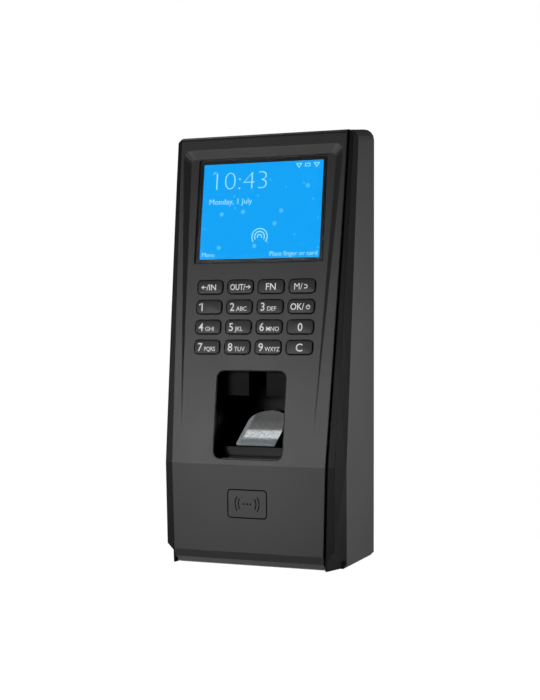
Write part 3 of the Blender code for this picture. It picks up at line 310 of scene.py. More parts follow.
def blend_colour(tree, first, second, share):
    """Mix two colours, given as values or sockets, by a mask socket; return the output."""
    mix = node(tree, "ShaderNodeMix", data_type="RGBA")
    for index, value in ((6, first), (7, second)):
        if isinstance(value, tuple):
            mix.inputs[index].default_value = (*value, 1.0)
        else:
            tree.links.new(value, mix.inputs[index])
    tree.links.new(share, mix.inputs["Factor"])
    return mix.outputs[2]


def solid_finish(name, colour, worn_and_highlight_colour, rough, rough_drift=0.08, grain=2500.0, depth=0.00002,
                 radius=0.0003, wear=0.5, dust=0.15, metallic=0.0, coat=0.0, tone=0.12,
                 specular=0.5, strength=0.5):
    """Build a material for plastic, metal or board, and return it."""
    material = bpy.data.materials.new(name)
    material.use_nodes = True
    tree = material.node_tree
    shader = tree.nodes["Principled BSDF"]
    grains = place_group(tree, grain_group, Scale=grain)
    edges = place_group(tree, wear_and_highlight_group, Radius=radius, Amount=wear)
    lint = place_group(tree, dust_group, Amount=dust)
    dark = tuple(channel * (1 - tone) for channel in colour)
    light = tuple(channel * (1 + tone) for channel in colour)
    base = blend_colour(tree, dark, light, grains.outputs["Cloud"])
    # edge colour: partly wear, partly a painted highlight
    base = blend_colour(tree, base, worn_and_highlight_colour, edges.outputs["Mask"])
    base = blend_colour(tree, base, (0.30, 0.29, 0.28), lint.outputs["Mask"])
    tree.links.new(base, shader.inputs["Base Color"])
    drift = node(tree, "ShaderNodeMapRange")
    drift.inputs["To Min"].default_value = rough - rough_drift
    drift.inputs["To Max"].default_value = rough + rough_drift
    tree.links.new(grains.outputs["Cloud"], drift.inputs["Value"])
    tree.links.new(drift.outputs["Result"], shader.inputs["Roughness"])
    bump = node(tree, "ShaderNodeBump", strength=strength, distance=depth)
    tree.links.new(grains.outputs["Height"], bump.inputs["Height"])
    tree.links.new(edges.outputs["Normal"], bump.inputs["Normal"])
    tree.links.new(bump.outputs["Normal"], shader.inputs["Normal"])
    shader.inputs["Metallic"].default_value = metallic
    shader.inputs["Coat Weight"].default_value = coat
    shader.inputs["Specular IOR Level"].default_value = specular
    return material


# %% [markdown]
# Each finish below is one call's values. The worn and highlight colour shows on the edges: partly rubbed
# wear, partly a painted highlight.

# %% The solid finishes
FINISHES = {
    "cover_grey": dict(colour=(0.017, 0.017, 0.0175), worn_and_highlight_colour=(0.05, 0.05, 0.05), rough=0.41,
                       rough_drift=0.025, grain=2600.0, depth=0.00003, radius=0.0004, wear=0.45),
    "casing_grey": dict(colour=(0.032, 0.032, 0.033), worn_and_highlight_colour=(0.07, 0.07, 0.07), rough=0.58,
                        rough_drift=0.04, grain=1900.0, depth=0.00005, radius=0.0004, wear=0.4),
    "gloss_black": dict(colour=(0.004, 0.004, 0.0045), worn_and_highlight_colour=(0.015, 0.015, 0.015), rough=0.42,
                        rough_drift=0.04, grain=700.0, depth=0.000004, radius=0.0003, wear=0.3,
                        dust=0.10, specular=0.15),
    "well_black": dict(colour=(0.0022, 0.0022, 0.0025), worn_and_highlight_colour=(0.01, 0.01, 0.01), rough=0.22,
                       rough_drift=0.03, grain=900.0, depth=0.000002, radius=0.0003, wear=0.1,
                       dust=0.0, specular=0.12),
    "guide_black": dict(colour=(0.004, 0.004, 0.004), worn_and_highlight_colour=(0.02, 0.02, 0.02), rough=0.55,
                        grain=2400.0, depth=0.00001, radius=0.0003, wear=0.6, dust=0.0,
                        specular=0.14),
    "key_grey": dict(colour=(0.018, 0.018, 0.019), worn_and_highlight_colour=(0.05, 0.05, 0.05), rough=0.44,
                     rough_drift=0.04, grain=3200.0, depth=0.00002, radius=0.0002, wear=0.4,
                     dust=0.05),
    "silicone": dict(colour=(0.06, 0.06, 0.065), worn_and_highlight_colour=(0.09, 0.09, 0.09), rough=0.75,
                     grain=1800.0, radius=0.0002, wear=0.2, dust=0.3),
    "board_green": dict(colour=(0.012, 0.085, 0.035), worn_and_highlight_colour=(0.30, 0.24, 0.10), rough=0.38,
                        grain=1400.0, depth=0.00002, radius=0.0001, wear=0.5, coat=0.4),
    "chip_black": dict(colour=(0.014, 0.014, 0.015), worn_and_highlight_colour=(0.05, 0.05, 0.05), rough=0.62,
                       grain=4200.0, depth=0.00003, radius=0.0001, wear=0.4),
    "steel": dict(colour=(0.52, 0.52, 0.53), worn_and_highlight_colour=(0.72, 0.72, 0.73), rough=0.36,
                  rough_drift=0.025, grain=1300.0, depth=0.000012, radius=0.0002, wear=0.6,
                  metallic=1.0, dust=0.08, tone=0.03),
    "bracket_white": dict(colour=(0.62, 0.62, 0.60), worn_and_highlight_colour=(0.75, 0.75, 0.74), rough=0.52,
                          grain=2200.0, radius=0.0002, wear=0.3, tone=0.04),
    "terminal_green": dict(colour=(0.020, 0.200, 0.060), worn_and_highlight_colour=(0.06, 0.33, 0.14), rough=0.45,
                           grain=2400.0, radius=0.0002, wear=0.4),
    "relay_blue": dict(colour=(0.020, 0.075, 0.270), worn_and_highlight_colour=(0.08, 0.17, 0.42), rough=0.40,
                       grain=2400.0, radius=0.0002, wear=0.4),
    "ribbon_amber": dict(colour=(0.430, 0.190, 0.035), worn_and_highlight_colour=(0.55, 0.30, 0.10), rough=0.32,
                         grain=600.0, radius=0.0001, wear=0.2, coat=0.5),
    "platen": dict(colour=(0.16, 0.165, 0.17), worn_and_highlight_colour=(0.80, 0.82, 0.84), rough=0.34,
                   grain=1500.0, depth=0.00004, radius=0.0004, wear=0.6, dust=0.05),
    "lcd": dict(colour=(0.05, 0.05, 0.055), worn_and_highlight_colour=(0.30, 0.30, 0.30), rough=0.30,
                grain=900.0, radius=0.0002, wear=0.3),
}
materials = {name: solid_finish(name, **values) for name, values in FINISHES.items()}
print("finishes:", ", ".join(materials))

# %% [markdown]
# ## The sensing surface
# The prism's light is painted: its colour glows, banded by height into a bluish foot, a bright band of
# painted light, then frosted grey, with a painted highlight along its left edge.

# %% Painted glow bands on the prism
prism_low, prism_high = (reach("sensor_prism", Vector((0, 0, 1)))[side] for side in (0, 1))
tree = materials["platen"].node_tree
shader = tree.nodes["Principled BSDF"]
place = node(tree, "ShaderNodeSeparateXYZ")
tree.links.new(node(tree, "ShaderNodeTexCoord").outputs["Object"], place.inputs[0])
height = node(tree, "ShaderNodeMapRange")
height.inputs["From Min"].default_value = prism_low
height.inputs["From Max"].default_value = prism_high
tree.links.new(place.outputs["Z"], height.inputs["Value"])
grit = node(tree, "ShaderNodeMapRange")
grit.inputs["To Min"].default_value = -0.05
grit.inputs["To Max"].default_value = 0.05
tree.links.new(noise(tree, 1600.0, 4.0), grit.inputs["Value"])
shifted = math_node(tree, "ADD", height.outputs["Result"], grit.outputs["Result"])
# painted light: the glow colour set by height, with a bright painted band
painted_light_bands = node(tree, "ShaderNodeValToRGB")
painted_light_bands.color_ramp.elements[0].position = 0.30
painted_light_bands.color_ramp.elements[0].color = (0.16, 0.19, 0.21, 1)
painted_light_bands.color_ramp.elements[1].position = 1.0
painted_light_bands.color_ramp.elements[1].color = (0.10, 0.10, 0.10, 1)
for share, value in ((0.34, (0.22, 0.26, 0.28, 1)), (0.38, (0.85, 0.90, 0.92, 1)),
                     (0.52, (0.75, 0.78, 0.80, 1)), (0.56, (0.16, 0.16, 0.16, 1)),
                     (0.80, (0.08, 0.08, 0.08, 1))):
    painted_light_bands.color_ramp.elements.new(share).color = value
tree.links.new(shifted, painted_light_bands.inputs["Fac"])
speckle = node(tree, "ShaderNodeMapRange")
speckle.inputs["To Min"].default_value = 0.2
speckle.inputs["To Max"].default_value = 1.8
tree.links.new(noise(tree, 1100.0, 1.0), speckle.inputs["Value"])
# painted highlight: a paler glow along the prism's left edge
left_edge_highlight = node(tree, "ShaderNodeMapRange", interpolation_type="SMOOTHSTEP")
left_edge_highlight.inputs["From Min"].default_value = -6.6 * MM
left_edge_highlight.inputs["From Max"].default_value = -7.4 * MM
tree.links.new(place.outputs["X"], left_edge_highlight.inputs["Value"])
painted_glow_colour = blend_colour(tree, painted_light_bands.outputs["Color"], (0.26, 0.27, 0.28), left_edge_highlight.outputs["Result"])
gain = node(tree, "ShaderNodeVectorMath", operation="SCALE")
tree.links.new(painted_glow_colour, gain.inputs[0])
tree.links.new(speckle.outputs["Result"], gain.inputs["Scale"])
# the painted glow colour feeds the emission, so the prism glows though it is no lamp
tree.links.new(gain.outputs["Vector"], shader.inputs["Emission Color"])
shader.inputs["Emission Strength"].default_value = 0.6
print("prism from", round(prism_low / MM, 1), "to", round(prism_high / MM, 1), "mm")

# %% [markdown]
# ## Finishing the CAD pieces
# A CAD piece whose shape is right stays as it is. Only its material slots change.

# %% Give each CAD piece its finish
for piece in nodes.values():
    for slot in piece.material_slots:
        found = slot.material.name.split(".")[0]
        if found in materials:
            slot.material = materials[found]
nodes["sensor_well"].material_slots[0].material = materials["well_black"]
for name in ("finger_guide_left", "finger_guide_right"):
    nodes[name].material_slots[0].material = materials["guide_black"]
print("finished:", len(nodes), "CAD pieces")

# %% [markdown]
# ## Modelling helpers
# Everything on the panel is made in the panel's own directions: a piece's X is across, Y is up the panel
# and Z is out of it. A small set of helpers does what the mouse would: clear the selection, add a
# primitive, pick some edges or faces in edit mode, and apply the place at the end.

# %% Helpers for making pieces
PANEL_TURN = (math.pi / 2 - TILT, 0.0, 0.0)


def clear_selection():
    """Leave edit mode and deselect everything."""
    if bpy.context.object and bpy.context.object.mode != "OBJECT":
        bpy.ops.object.mode_set(mode="OBJECT")
    bpy.ops.object.select_all(action="DESELECT")


def choose(*pieces):
    """Select the pieces, the first one active."""
    clear_selection()
    for piece in pieces:
        piece.select_set(True)
    bpy.context.view_layer.objects.active = pieces[0]


def add_box(name, place, size, turn=PANEL_TURN):
    """Add a box of a size at a place, turned as the panel unless told otherwise."""
    clear_selection()
    bpy.ops.mesh.primitive_cube_add(size=1, location=place, rotation=turn, scale=size)
    bpy.context.object.name = name
    bpy.ops.object.transform_apply(location=False, rotation=False, scale=True)
    return bpy.context.object


def add_disc(name, place, radius, depth, turn=PANEL_TURN, vertices=32):
    """Add a cylinder whose axis is its own Z."""
    clear_selection()
    bpy.ops.mesh.primitive_cylinder_add(vertices=vertices, radius=radius, depth=depth,
                                        location=place, rotation=turn)
    bpy.context.object.name = name
    return bpy.context.object


def pick(piece, kind, test):
    """Select in edit mode the edges or faces that pass a test, and return how many."""
    choose(piece)
    bpy.ops.object.mode_set(mode="EDIT")
    bpy.ops.mesh.select_mode(type=kind)
    bpy.ops.mesh.select_all(action="DESELECT")
    bm = bmesh.from_edit_mesh(piece.data)
    found = [part for part in (bm.edges if kind == "EDGE" else bm.faces) if test(part)]
    for part in found:
        part.select_set(True)
    bmesh.update_edit_mesh(piece.data)
    return len(found)


def upright(edge):
    """Tell whether an edge runs along its piece's Z."""
    start, end = (vertex.co for vertex in edge.verts)
    return (start - end).length > 1e-6 and abs((start - end).normalized().z) > 0.99


def front_face(face):
    """Tell whether a face looks along its piece's Z."""
    return face.normal.z > 0.99


def front_rim(edge):
    """Tell whether an edge bounds the front face."""
    return any(front_face(face) for face in edge.link_faces) and not all(
        front_face(face) for face in edge.link_faces)


def back_rim(edge):
    """Tell whether an edge bounds the back face."""
    return any(face.normal.z < -0.99 for face in edge.link_faces)


def bevel(piece, width, segments, test):
    """Bevel the edges that pass a test."""
    pick(piece, "EDGE", test)
    bpy.ops.mesh.bevel(offset=width, segments=segments, affect="EDGES")
    bpy.ops.object.mode_set(mode="OBJECT")


def smooth(piece, degrees=35):
    """Shade smooth, but keep edges sharper than an angle."""
    choose(piece)
    bpy.ops.object.shade_smooth_by_angle(angle=math.radians(degrees))


def subtract(piece, cutter):
    """Cut one piece out of another, and delete the cutter."""
    cut = piece.modifiers.new("cut", "BOOLEAN")
    cut.object = cutter
    cut.operation = "DIFFERENCE"
    cut.solver = "EXACT"
    choose(piece)
    bpy.ops.object.modifier_apply(modifier=cut.name)
    bpy.data.objects.remove(cutter)


def settle(piece, rider, material):
    """Apply the place, turn and scale, and tie the piece to its body."""
    choose(piece)
    bpy.ops.object.transform_apply(location=True, rotation=True, scale=True)
    piece.data.materials.clear()
    piece.data.materials.append(material)
    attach(piece, rider)
    return piece


def copy_piece(piece, name):
    """Copy a piece with a mesh of its own."""
    made = piece.copy()
    made.data = piece.data.copy()
    made.name = name
    made.data.name = name
    bpy.context.collection.objects.link(made)
    return made


def join(name, pieces):
    """Join pieces into the first one."""
    choose(*pieces)
    if len(pieces) > 1:
        bpy.ops.object.join()
    pieces[0].name = name
    return pieces[0]


def add_text(name, words, size, place, thick=0.00006, across="LEFT", bold=0.0, spacing=1.0,
             squeeze=1.0, turn=PANEL_TURN):
    """Add words as a thin flat mesh; bold thickens the strokes, squeeze narrows the letters."""
    clear_selection()
    bpy.ops.object.text_add(location=(0, 0, 0))
    words_object = bpy.context.object
    words_object.name = name
    words_object.data.body = words
    words_object.data.align_x = across
    words_object.data.size = size
    words_object.data.space_character = spacing
    words_object.data.offset = bold
    words_object.data.extrude = thick / 2
    words_object.data.resolution_u = 3
    bpy.ops.object.convert(target="MESH")
    words_object.scale = (squeeze, 1, 1)
    bpy.ops.object.transform_apply(location=False, rotation=False, scale=True)
    words_object.location, words_object.rotation_euler = place, turn
    return words_object


def add_stroke(name, points, width, place, thick=0.00006, closed=False, turn=PANEL_TURN):
    """Add a flat line through points given across and up, as a mesh."""
    data = bpy.data.curves.new(name, "CURVE")
    data.dimensions = "2D"
    line = data.splines.new("POLY")
    line.points.add(len(points) - 1)
    for point, (x, y) in zip(line.points, points):
        point.co = (x, y, 0, 1)
    line.use_cyclic_u = closed
    data.extrude = thick / 2
    made = bpy.data.objects.new(name, data)
    bpy.context.collection.objects.link(made)
    choose(made)
    bpy.ops.object.convert(target="MESH")
    thicken = made.modifiers.new("width", "SOLIDIFY")
    thicken.thickness = width
    thicken.offset = 0
    thicken.use_even_offset = True
    bpy.ops.object.modifier_apply(modifier=thicken.name)
    made.location, made.rotation_euler = place, turn
    return made


def arc(radius, start, end, steps=10, middle=(0.0, 0.0)):
    """Return points along an arc, from one angle to another in degrees."""
    angles = [math.radians(start + (end - start) * step / steps) for step in range(steps + 1)]
    return [(middle[0] + radius * math.cos(a), middle[1] + radius * math.sin(a)) for a in angles]


print("helpers ready")

# %% [markdown]
# ## Key caps
# The sixteen caps are one shape: a small rounded bar of silicone-coated plastic with a soft front edge
# and a flange behind the cover that stops it from falling out. It could be lofted from outlines; a box
# with bevelled corners is quicker and keeps the front perfectly flat for the print.

# %% Model one key cap
CAP_WIDTH, CAP_HEIGHT, CAP_CORNER, CAP_EDGE = 12.35 * MM, 6.06 * MM, 1.7 * MM, 0.42 * MM
FLANGE_WIDTH, FLANGE_HEIGHT, FLANGE_THICK = 13.4 * MM, 7.2 * MM, 0.9 * MM
BEHIND_CAP = 1.0 * MM               # room for the flange within the CAD key's depth
CAP_SETBACK = 0.01 * MM
key_names = [name for name in nodes if name.startswith("key_")]
key_back, key_front = reach("key_1", OUT)
cap_depth = key_front - key_back - BEHIND_CAP
cap = add_box("key_cap", (0, 0, 0), (CAP_WIDTH, CAP_HEIGHT, cap_depth), (0, 0, 0))
bevel(cap, CAP_CORNER, 6, upright)
bevel(cap, CAP_EDGE, 4, front_rim)
pick(cap, "FACE", lambda face: face.normal.z < -0.99)
bpy.ops.mesh.extrude_region_move()
bpy.ops.transform.resize(value=(FLANGE_WIDTH / CAP_WIDTH, FLANGE_HEIGHT / CAP_HEIGHT, 1))
bpy.ops.mesh.extrude_region_move(TRANSFORM_OT_translate={"value": (0, 0, -FLANGE_THICK)})
bpy.ops.object.mode_set(mode="OBJECT")
smooth(cap, 40)
print("cap:", len(cap.data.polygons), "faces")

# %% [markdown]
# The copies stand at the CAD keys' places, each on its own key's body, and stand in for the CAD keys.

# %% Copy it to every key
for name in key_names:
    made = copy_piece(cap, f"cap_{name}")
    made.rotation_euler = PANEL_TURN
    made.location = front_middle(name) - OUT * (cap_depth / 2 + CAP_SETBACK)
    settle(made, name, materials["key_grey"])
    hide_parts(name)
bpy.data.objects.remove(cap)
print("caps:", len(key_names))

# %% [markdown]
# ## Printed legends
# The legends are screen-printed, so they are films a few hundredths of a millimetre thick that lie on the
# caps. Words are text turned to mesh; the arrows, the return hook and the power sign are flat strokes.

# %% Legend helpers
INK_UP = 0.03 * MM
BASELINE = -1.8 * MM                # below the cap's middle
DIGIT_LEFT, LETTERS_LEFT = -4.6 * MM, -1.4 * MM
DIGIT_SIZE, LETTERS_SIZE, ALONE_SIZE, WORD_SIZE = 5.1 * MM, 2.75 * MM, 4.9 * MM, 4.1 * MM
NARROW_SIZE = 3.7 * MM              # of the words that share a cap with an arrow
LINE = 0.42 * MM
BOLD = 0.04 * MM
LEGENDS = {
    "key_1": ("1", ""), "key_2": ("2", "ABC"), "key_3": ("3", "DEF"), "key_4": ("4", "GHI"),
    "key_5": ("5", "JKL"), "key_6": ("6", "MNO"), "key_7": ("7", "PQRS"), "key_8": ("8", "TUV"),
    "key_9": ("9", "WXYZ"),
}


def ink_place(name, across, up):
    """Return a place on a key's face, from its middle."""
    return front_middle(name) + RIGHT * across + UP * up + OUT * INK_UP


def finish_legend(name, pieces):
    """Join a key's legend and tie it to the key."""
    settle(join(f"legend_{name}", pieces), name, ink_with_painted_glow)


ink_with_painted_glow = solid_finish("legend_ink", (0.80, 0.81, 0.82), (0.60, 0.60, 0.60), rough=0.55, grain=3000.0,
                   depth=0.00001, radius=0.00002, wear=0.3, dust=0.0, tone=0.10)
# The ink also glows a little: painted brightness, since printed ink gives no light of its own.
ink_glow_shader = ink_with_painted_glow.node_tree.nodes["Principled BSDF"]
ink_glow_shader.inputs["Emission Color"].default_value = (0.80, 0.81, 0.82, 1)
ink_glow_shader.inputs["Emission Strength"].default_value = 0.30

# %% Digits with their letters
for name, (digit, letters) in LEGENDS.items():
    digit_place = ink_place(name, DIGIT_LEFT, BASELINE)
    made = [add_text("digit", digit, DIGIT_SIZE, digit_place, bold=BOLD, squeeze=0.95)]
    if digit == "1":
        made.append(add_stroke("flag", [(-0.28 * MM, 2.65 * MM), (0.75 * MM, 3.35 * MM)],
                               LINE, digit_place))
    if letters:
        made.append(add_text("letters", letters, LETTERS_SIZE,
                             ink_place(name, LETTERS_LEFT, BASELINE),
                             bold=0.01 * MM, squeeze=0.86 if len(letters) == 4 else 0.98,
                             spacing=0.96))
    finish_legend(name, made)
print("digits:", len(LEGENDS))

# %% Keys with one centred legend
for name, words in (("key_0", "0"), ("key_clear", "C")):
    made = add_text("digit", words, ALONE_SIZE, ink_place(name, 0, BASELINE), across="CENTER",
                    bold=0.05 * MM)
    finish_legend(name, [made])
made = add_text("words", "FN", 4.2 * MM, ink_place("key_fn", 0, -1.5 * MM), across="CENTER",
                bold=BOLD)
finish_legend("key_fn", [made])

# %% [markdown]
# The arrows, the hook and the power sign are flat strokes along lists of points. Each list is given once,
# and the right arrow is the left one mirrored.

# %% Arrows, hook and power sign
arrow_left = [(-1.35 * MM, 0), (0.9 * MM, 0)]
head_left = [(-0.35 * MM, 0.75 * MM), (-1.35 * MM, 0), (-0.35 * MM, -0.75 * MM)]
hook = [(-0.7 * MM, -0.72 * MM)] + arc(0.72 * MM, -90, 90, 10) + [(-0.7 * MM, 0.72 * MM)]
power = arc(0.85 * MM, 115, 425, 16)

made = [add_stroke("shaft", arrow_left, LINE, ink_place("key_in", -2.7 * MM, -0.1 * MM)),
        add_stroke("head", head_left, LINE, ink_place("key_in", -2.7 * MM, -0.1 * MM)),
        add_text("words", "/IN", NARROW_SIZE, ink_place("key_in", -1.7 * MM, -1.4 * MM),
                 bold=BOLD)]
finish_legend("key_in", made)
arrow_right = [(-x, y) for x, y in arrow_left]
head_right = [(-x, y) for x, y in head_left]
made = [add_text("words", "OUT/", NARROW_SIZE, ink_place("key_out", -4.9 * MM, -1.4 * MM),
                 bold=BOLD, squeeze=0.82),
        add_stroke("shaft", arrow_right, LINE, ink_place("key_out", 3.5 * MM, -0.1 * MM)),
        add_stroke("head", head_right, LINE, ink_place("key_out", 3.5 * MM, -0.1 * MM))]
finish_legend("key_out", made)
made = [add_text("words", "M/", WORD_SIZE, ink_place("key_menu", -3.9 * MM, -1.5 * MM),
                 squeeze=0.95),
        add_stroke("hook", hook, LINE, ink_place("key_menu", 1.7 * MM, -0.2 * MM))]
finish_legend("key_menu", made)
sign_place = ink_place("key_ok", 3.3 * MM, -0.3 * MM)
made = [add_text("words", "OK/", WORD_SIZE, ink_place("key_ok", -5.1 * MM, -1.5 * MM),
                 bold=BOLD, squeeze=0.90),
        add_stroke("ring", power, LINE * 0.9, sign_place),
        add_stroke("bar", [(0, 0.1 * MM), (0, 1.15 * MM)], LINE * 0.9, sign_place)]
finish_legend("key_ok", made)
print("command legends done")

# %% [markdown]
# ## The display
# Seen through a clear window: first a black printed border on the window's back, then the glowing image
# just behind it. A picture texture would be the easy way, but every mark is modelled as a thin film, so
# the display stays sharp close up and holds nothing but generic shapes and words.

# %% Window and border
LIT_WIDTH, LIT_HEIGHT = 57.6 * MM, 43.2 * MM
SHEET = 0.06 * MM                   # thickness of the printed border and of the image
BORDER_TO_IMAGE = 0.10 * MM
IMAGE_TO_MARKS = 0.045 * MM
glass = bpy.data.materials.new("window_glass")
glass.use_nodes = True
shader = glass.node_tree.nodes["Principled BSDF"]
for socket, value in (("Base Color", (1, 1, 1, 1)), ("Roughness", 0.03), ("IOR", 1.49),
                      ("Transmission Weight", 1.0), ("Metallic", 0.0),
                      ("Specular IOR Level", 0.10)):
    shader.inputs[socket].default_value = value
smudge = node(glass.node_tree, "ShaderNodeMapRange")
smudge.inputs["To Min"].default_value = 0.015
smudge.inputs["To Max"].default_value = 0.06
wiped = place_group(glass.node_tree, grain_group, Scale=900.0, Cloud_Scale=110.0)
glass.node_tree.links.new(wiped.outputs["Cloud"], smudge.inputs["Value"])
glass.node_tree.links.new(smudge.outputs["Result"], shader.inputs["Roughness"])
for slot in nodes["screen_lens"].material_slots:
    slot.material = glass

lens_back, lens_front = reach("screen_lens", OUT)
screen_middle = front_middle("screen_lens")
border_place = screen_middle - OUT * (lens_front - lens_back + SHEET)
lens_foot, lens_top = reach("screen_lens", UP)
lens_width = reach("screen_lens", RIGHT)[1] * 2
lens_height = lens_top - lens_foot
border = add_box("window_border", border_place, (lens_width, lens_height, SHEET))
opening = add_box("window_opening", border_place, (LIT_WIDTH, LIT_HEIGHT, 1 * MM))
bevel(opening, 0.4 * MM, 3, upright)
subtract(border, opening)
border_ink = solid_finish("border_ink", (0.004, 0.004, 0.005), (0.01, 0.01, 0.01), rough=0.35,
                          grain=1500.0, depth=0.000003, radius=0.00002, wear=0.1, dust=0.0)
settle(border, "terminal", border_ink)
print("border:", len(border.data.polygons), "faces")

# %% [markdown]
# The display gives its own light. The image, its marks and its soft dots are one recipe in three colours,
# with a level that drifts a little as a real backlight does.

# %% Glowing finishes
def glow_finish(name, colour, strength, drift=0.03, scale=30.0):
    """Build a material that glows, with a faint unevenness like a real backlight."""
    material = bpy.data.materials.new(name)
    material.use_nodes = True
    tree = material.node_tree
    shader = tree.nodes["Principled BSDF"]
    uneven = place_group(tree, grain_group, Scale=scale * 40, Cloud_Scale=scale)
    level = node(tree, "ShaderNodeMapRange")
    level.inputs["To Min"].default_value = strength * (1 - drift)
    level.inputs["To Max"].default_value = strength * (1 + drift)
    tree.links.new(uneven.outputs["Cloud"], level.inputs["Value"])
    tree.links.new(level.outputs["Result"], shader.inputs["Emission Strength"])
    shader.inputs["Base Color"].default_value = (0.01, 0.01, 0.01, 1)
    shader.inputs["Roughness"].default_value = 0.6
    shader.inputs["Specular IOR Level"].default_value = 0.0
    shader.inputs["Emission Color"].default_value = (*colour, 1)
    return material


sky_glow = glow_finish("display_blue", (0.0, 0.392, 1.0), 1.0)
mark_glow = glow_finish("display_marks", (0.34, 0.88, 1.0), 1.0)
soft_glow = glow_finish("display_soft_marks", (0.08, 0.55, 1.0), 1.0)
image_place = border_place - OUT * BORDER_TO_IMAGE
image = add_box("display_image", image_place, (LIT_WIDTH + 1 * MM, LIT_HEIGHT + 1 * MM, SHEET))
settle(image, "terminal", sky_glow)


def on_screen(across, down):
    """Return a place on the image, by shares of its width and height from the top left."""
    return (image_place + RIGHT * (across - 0.5) * LIT_WIDTH + UP * (0.5 - down) * LIT_HEIGHT
            + OUT * IMAGE_TO_MARKS)


print("image at", [round(v / MM, 1) for v in image_place])

# %% [markdown]
# The clock's strokes are thin and the font's are not, so a negative offset thins them. The 1 has no flag
# in this font, and gets one as a stroke.

# %% Clock, date and words
FILM = 0.02 * MM
clock = add_text("clock", "10:43", 12.0 * MM, on_screen(0.055, 0.275), FILM, bold=-0.34 * MM,
                 spacing=0.96, squeeze=1.14)
date = add_text("date", "Monday, 1 July", 3.6 * MM, on_screen(0.055, 0.425), FILM)
flag = add_stroke("flag", [(1.4 * MM, 7.3 * MM), (2.8 * MM, 8.5 * MM)], 0.34 * MM,
                  on_screen(0.055, 0.275), FILM)
menu = add_text("menu", "Menu", 2.9 * MM, on_screen(0.015, 0.975), FILM)
hint = add_text("hint", "Place finger or card", 2.9 * MM, on_screen(0.985, 0.975), FILM,
                across="RIGHT")
words = join("display_words", [clock, flag, date, menu, hint])
settle(words, "terminal", mark_glow)
print("words:", len(words.data.polygons), "faces")

# %% [markdown]
# The icons, the scattered dots and the finger sign are flat strokes and discs. Their places are shares of
# the screen, so they follow it when its size changes.

# %% Status icons, dots and the finger sign
icons = []
for across in (0.80, 0.945):
    fan = [(0, -1.0 * MM), (-1.2 * MM, 0.7 * MM), (1.2 * MM, 0.7 * MM)]
    icons.append(add_stroke("fan", fan, 0.35 * MM, on_screen(across, 0.045), FILM, closed=True))
battery = [(-1.1 * MM, -0.6 * MM), (1.1 * MM, -0.6 * MM), (1.1 * MM, 0.6 * MM),
           (-1.1 * MM, 0.6 * MM)]
icons.append(add_stroke("battery", battery, 0.3 * MM, on_screen(0.87, 0.045), FILM, closed=True))
settle(join("display_icons", icons), "terminal", mark_glow)

SOFT_DOTS = ((0.17, 0.53), (0.35, 0.51), (0.67, 0.51), (0.62, 0.64), (0.46, 0.87), (0.16, 0.88),
             (0.88, 0.26))
SMALL_DOTS = ((0.845, 0.23), (0.93, 0.40), (0.47, 0.345), (0.27, 0.345), (0.28, 0.47),
              (0.70, 0.265), (0.79, 0.76), (0.975, 0.595), (0.57, 0.185), (0.03, 0.68),
              (0.57, 0.835), (0.985, 0.90))
dots = [add_disc("dot", on_screen(*place), 1.0 * MM, FILM, vertices=20) for place in SOFT_DOTS]
dots += [add_disc("dot", on_screen(*place), 0.42 * MM, FILM, vertices=12) for place in SMALL_DOTS]
settle(join("display_dots", dots), "terminal", soft_glow)

ridges = []
for step in range(3):
    radius = (1.0 + step * 1.35) * MM
    ridges.append(add_stroke("ridge", arc(radius, -25 - step * 6, 205 + step * 6, 18), 0.45 * MM,
                             on_screen(0.5, 0.775), FILM))
settle(join("finger_sign", ridges), "terminal", mark_glow)
print("display marks done")

# %% [markdown]
# ## Card mark
# The lower face carries a printed mark that shows where to hold a card: a thin rounded frame with waves
# on both sides of three dots. The lower face leans a little, so its lean is measured from the cover's own
# points and the mark is turned to it.

# %% Measure the lower face
def lower_face():
    """Return the middle and the normal of the flat face below the crease."""
    mesh = nodes["front_cover"].data
    flat = [face for face in mesh.polygons
            if face.normal.y < -0.9 and face.center.z < -45 * MM and abs(face.normal.x) < 0.01]
    face = max(flat, key=lambda candidate: candidate.area)
    return face.center.copy(), face.normal.copy()


face_centre, face_normal = lower_face()
face_up = Vector((0, -face_normal.z, face_normal.y))
if face_up.z < 0:
    face_up.negate()
mark_turn = (math.atan2(face_up.z, face_up.y), 0.0, 0.0)
MARK_Z = -69.5 * MM
slide = (MARK_Z - face_centre.z) / face_up.z
mark_place = Vector((0, face_centre.y, face_centre.z)) + face_up * slide + face_normal * 0.03 * MM
print("lower face normal", [round(v, 4) for v in face_normal], "mark", mark_place)

# %% Model the mark
MARK_HALF = (9.2 * MM, 6.1 * MM)
MARK_CORNER = 1.5 * MM
WAVE_RADII = (4.2 * MM, 5.7 * MM)
WAVE_SPREAD = 33                    # degrees to either side
DOT_PITCH = 1.6 * MM
outline = []
for quarter, (sx, sy) in enumerate(((1, 1), (-1, 1), (-1, -1), (1, -1))):
    middle = (sx * (MARK_HALF[0] - MARK_CORNER), sy * (MARK_HALF[1] - MARK_CORNER))
    outline += arc(MARK_CORNER, quarter * 90, quarter * 90 + 90, 6, middle)
mark = [add_stroke("frame", outline, 0.55 * MM, mark_place, closed=True, turn=mark_turn)]
for side in (-1, 1):
    for radius in WAVE_RADII:
        turn_from = 180 if side < 0 else 0
        wave = arc(radius, turn_from - WAVE_SPREAD, turn_from + WAVE_SPREAD, 10)
        mark.append(add_stroke("wave", wave, 0.45 * MM, mark_place, turn=mark_turn))
for step in (-1, 0, 1):
    mark.append(add_disc("dot", mark_place + RIGHT * step * DOT_PITCH, 0.42 * MM, 0.06 * MM,
                         turn=mark_turn, vertices=16))
mark_ink = solid_finish("mark_ink", (0.003, 0.003, 0.003), (0.01, 0.01, 0.01), rough=0.60,
                        grain=2600.0, depth=0.00001, radius=0.00002, wear=0.2, dust=0.0,
                        specular=0.10)
settle(join("card_mark", mark), "terminal", mark_ink)
print("card mark:", len(mark), "strokes")

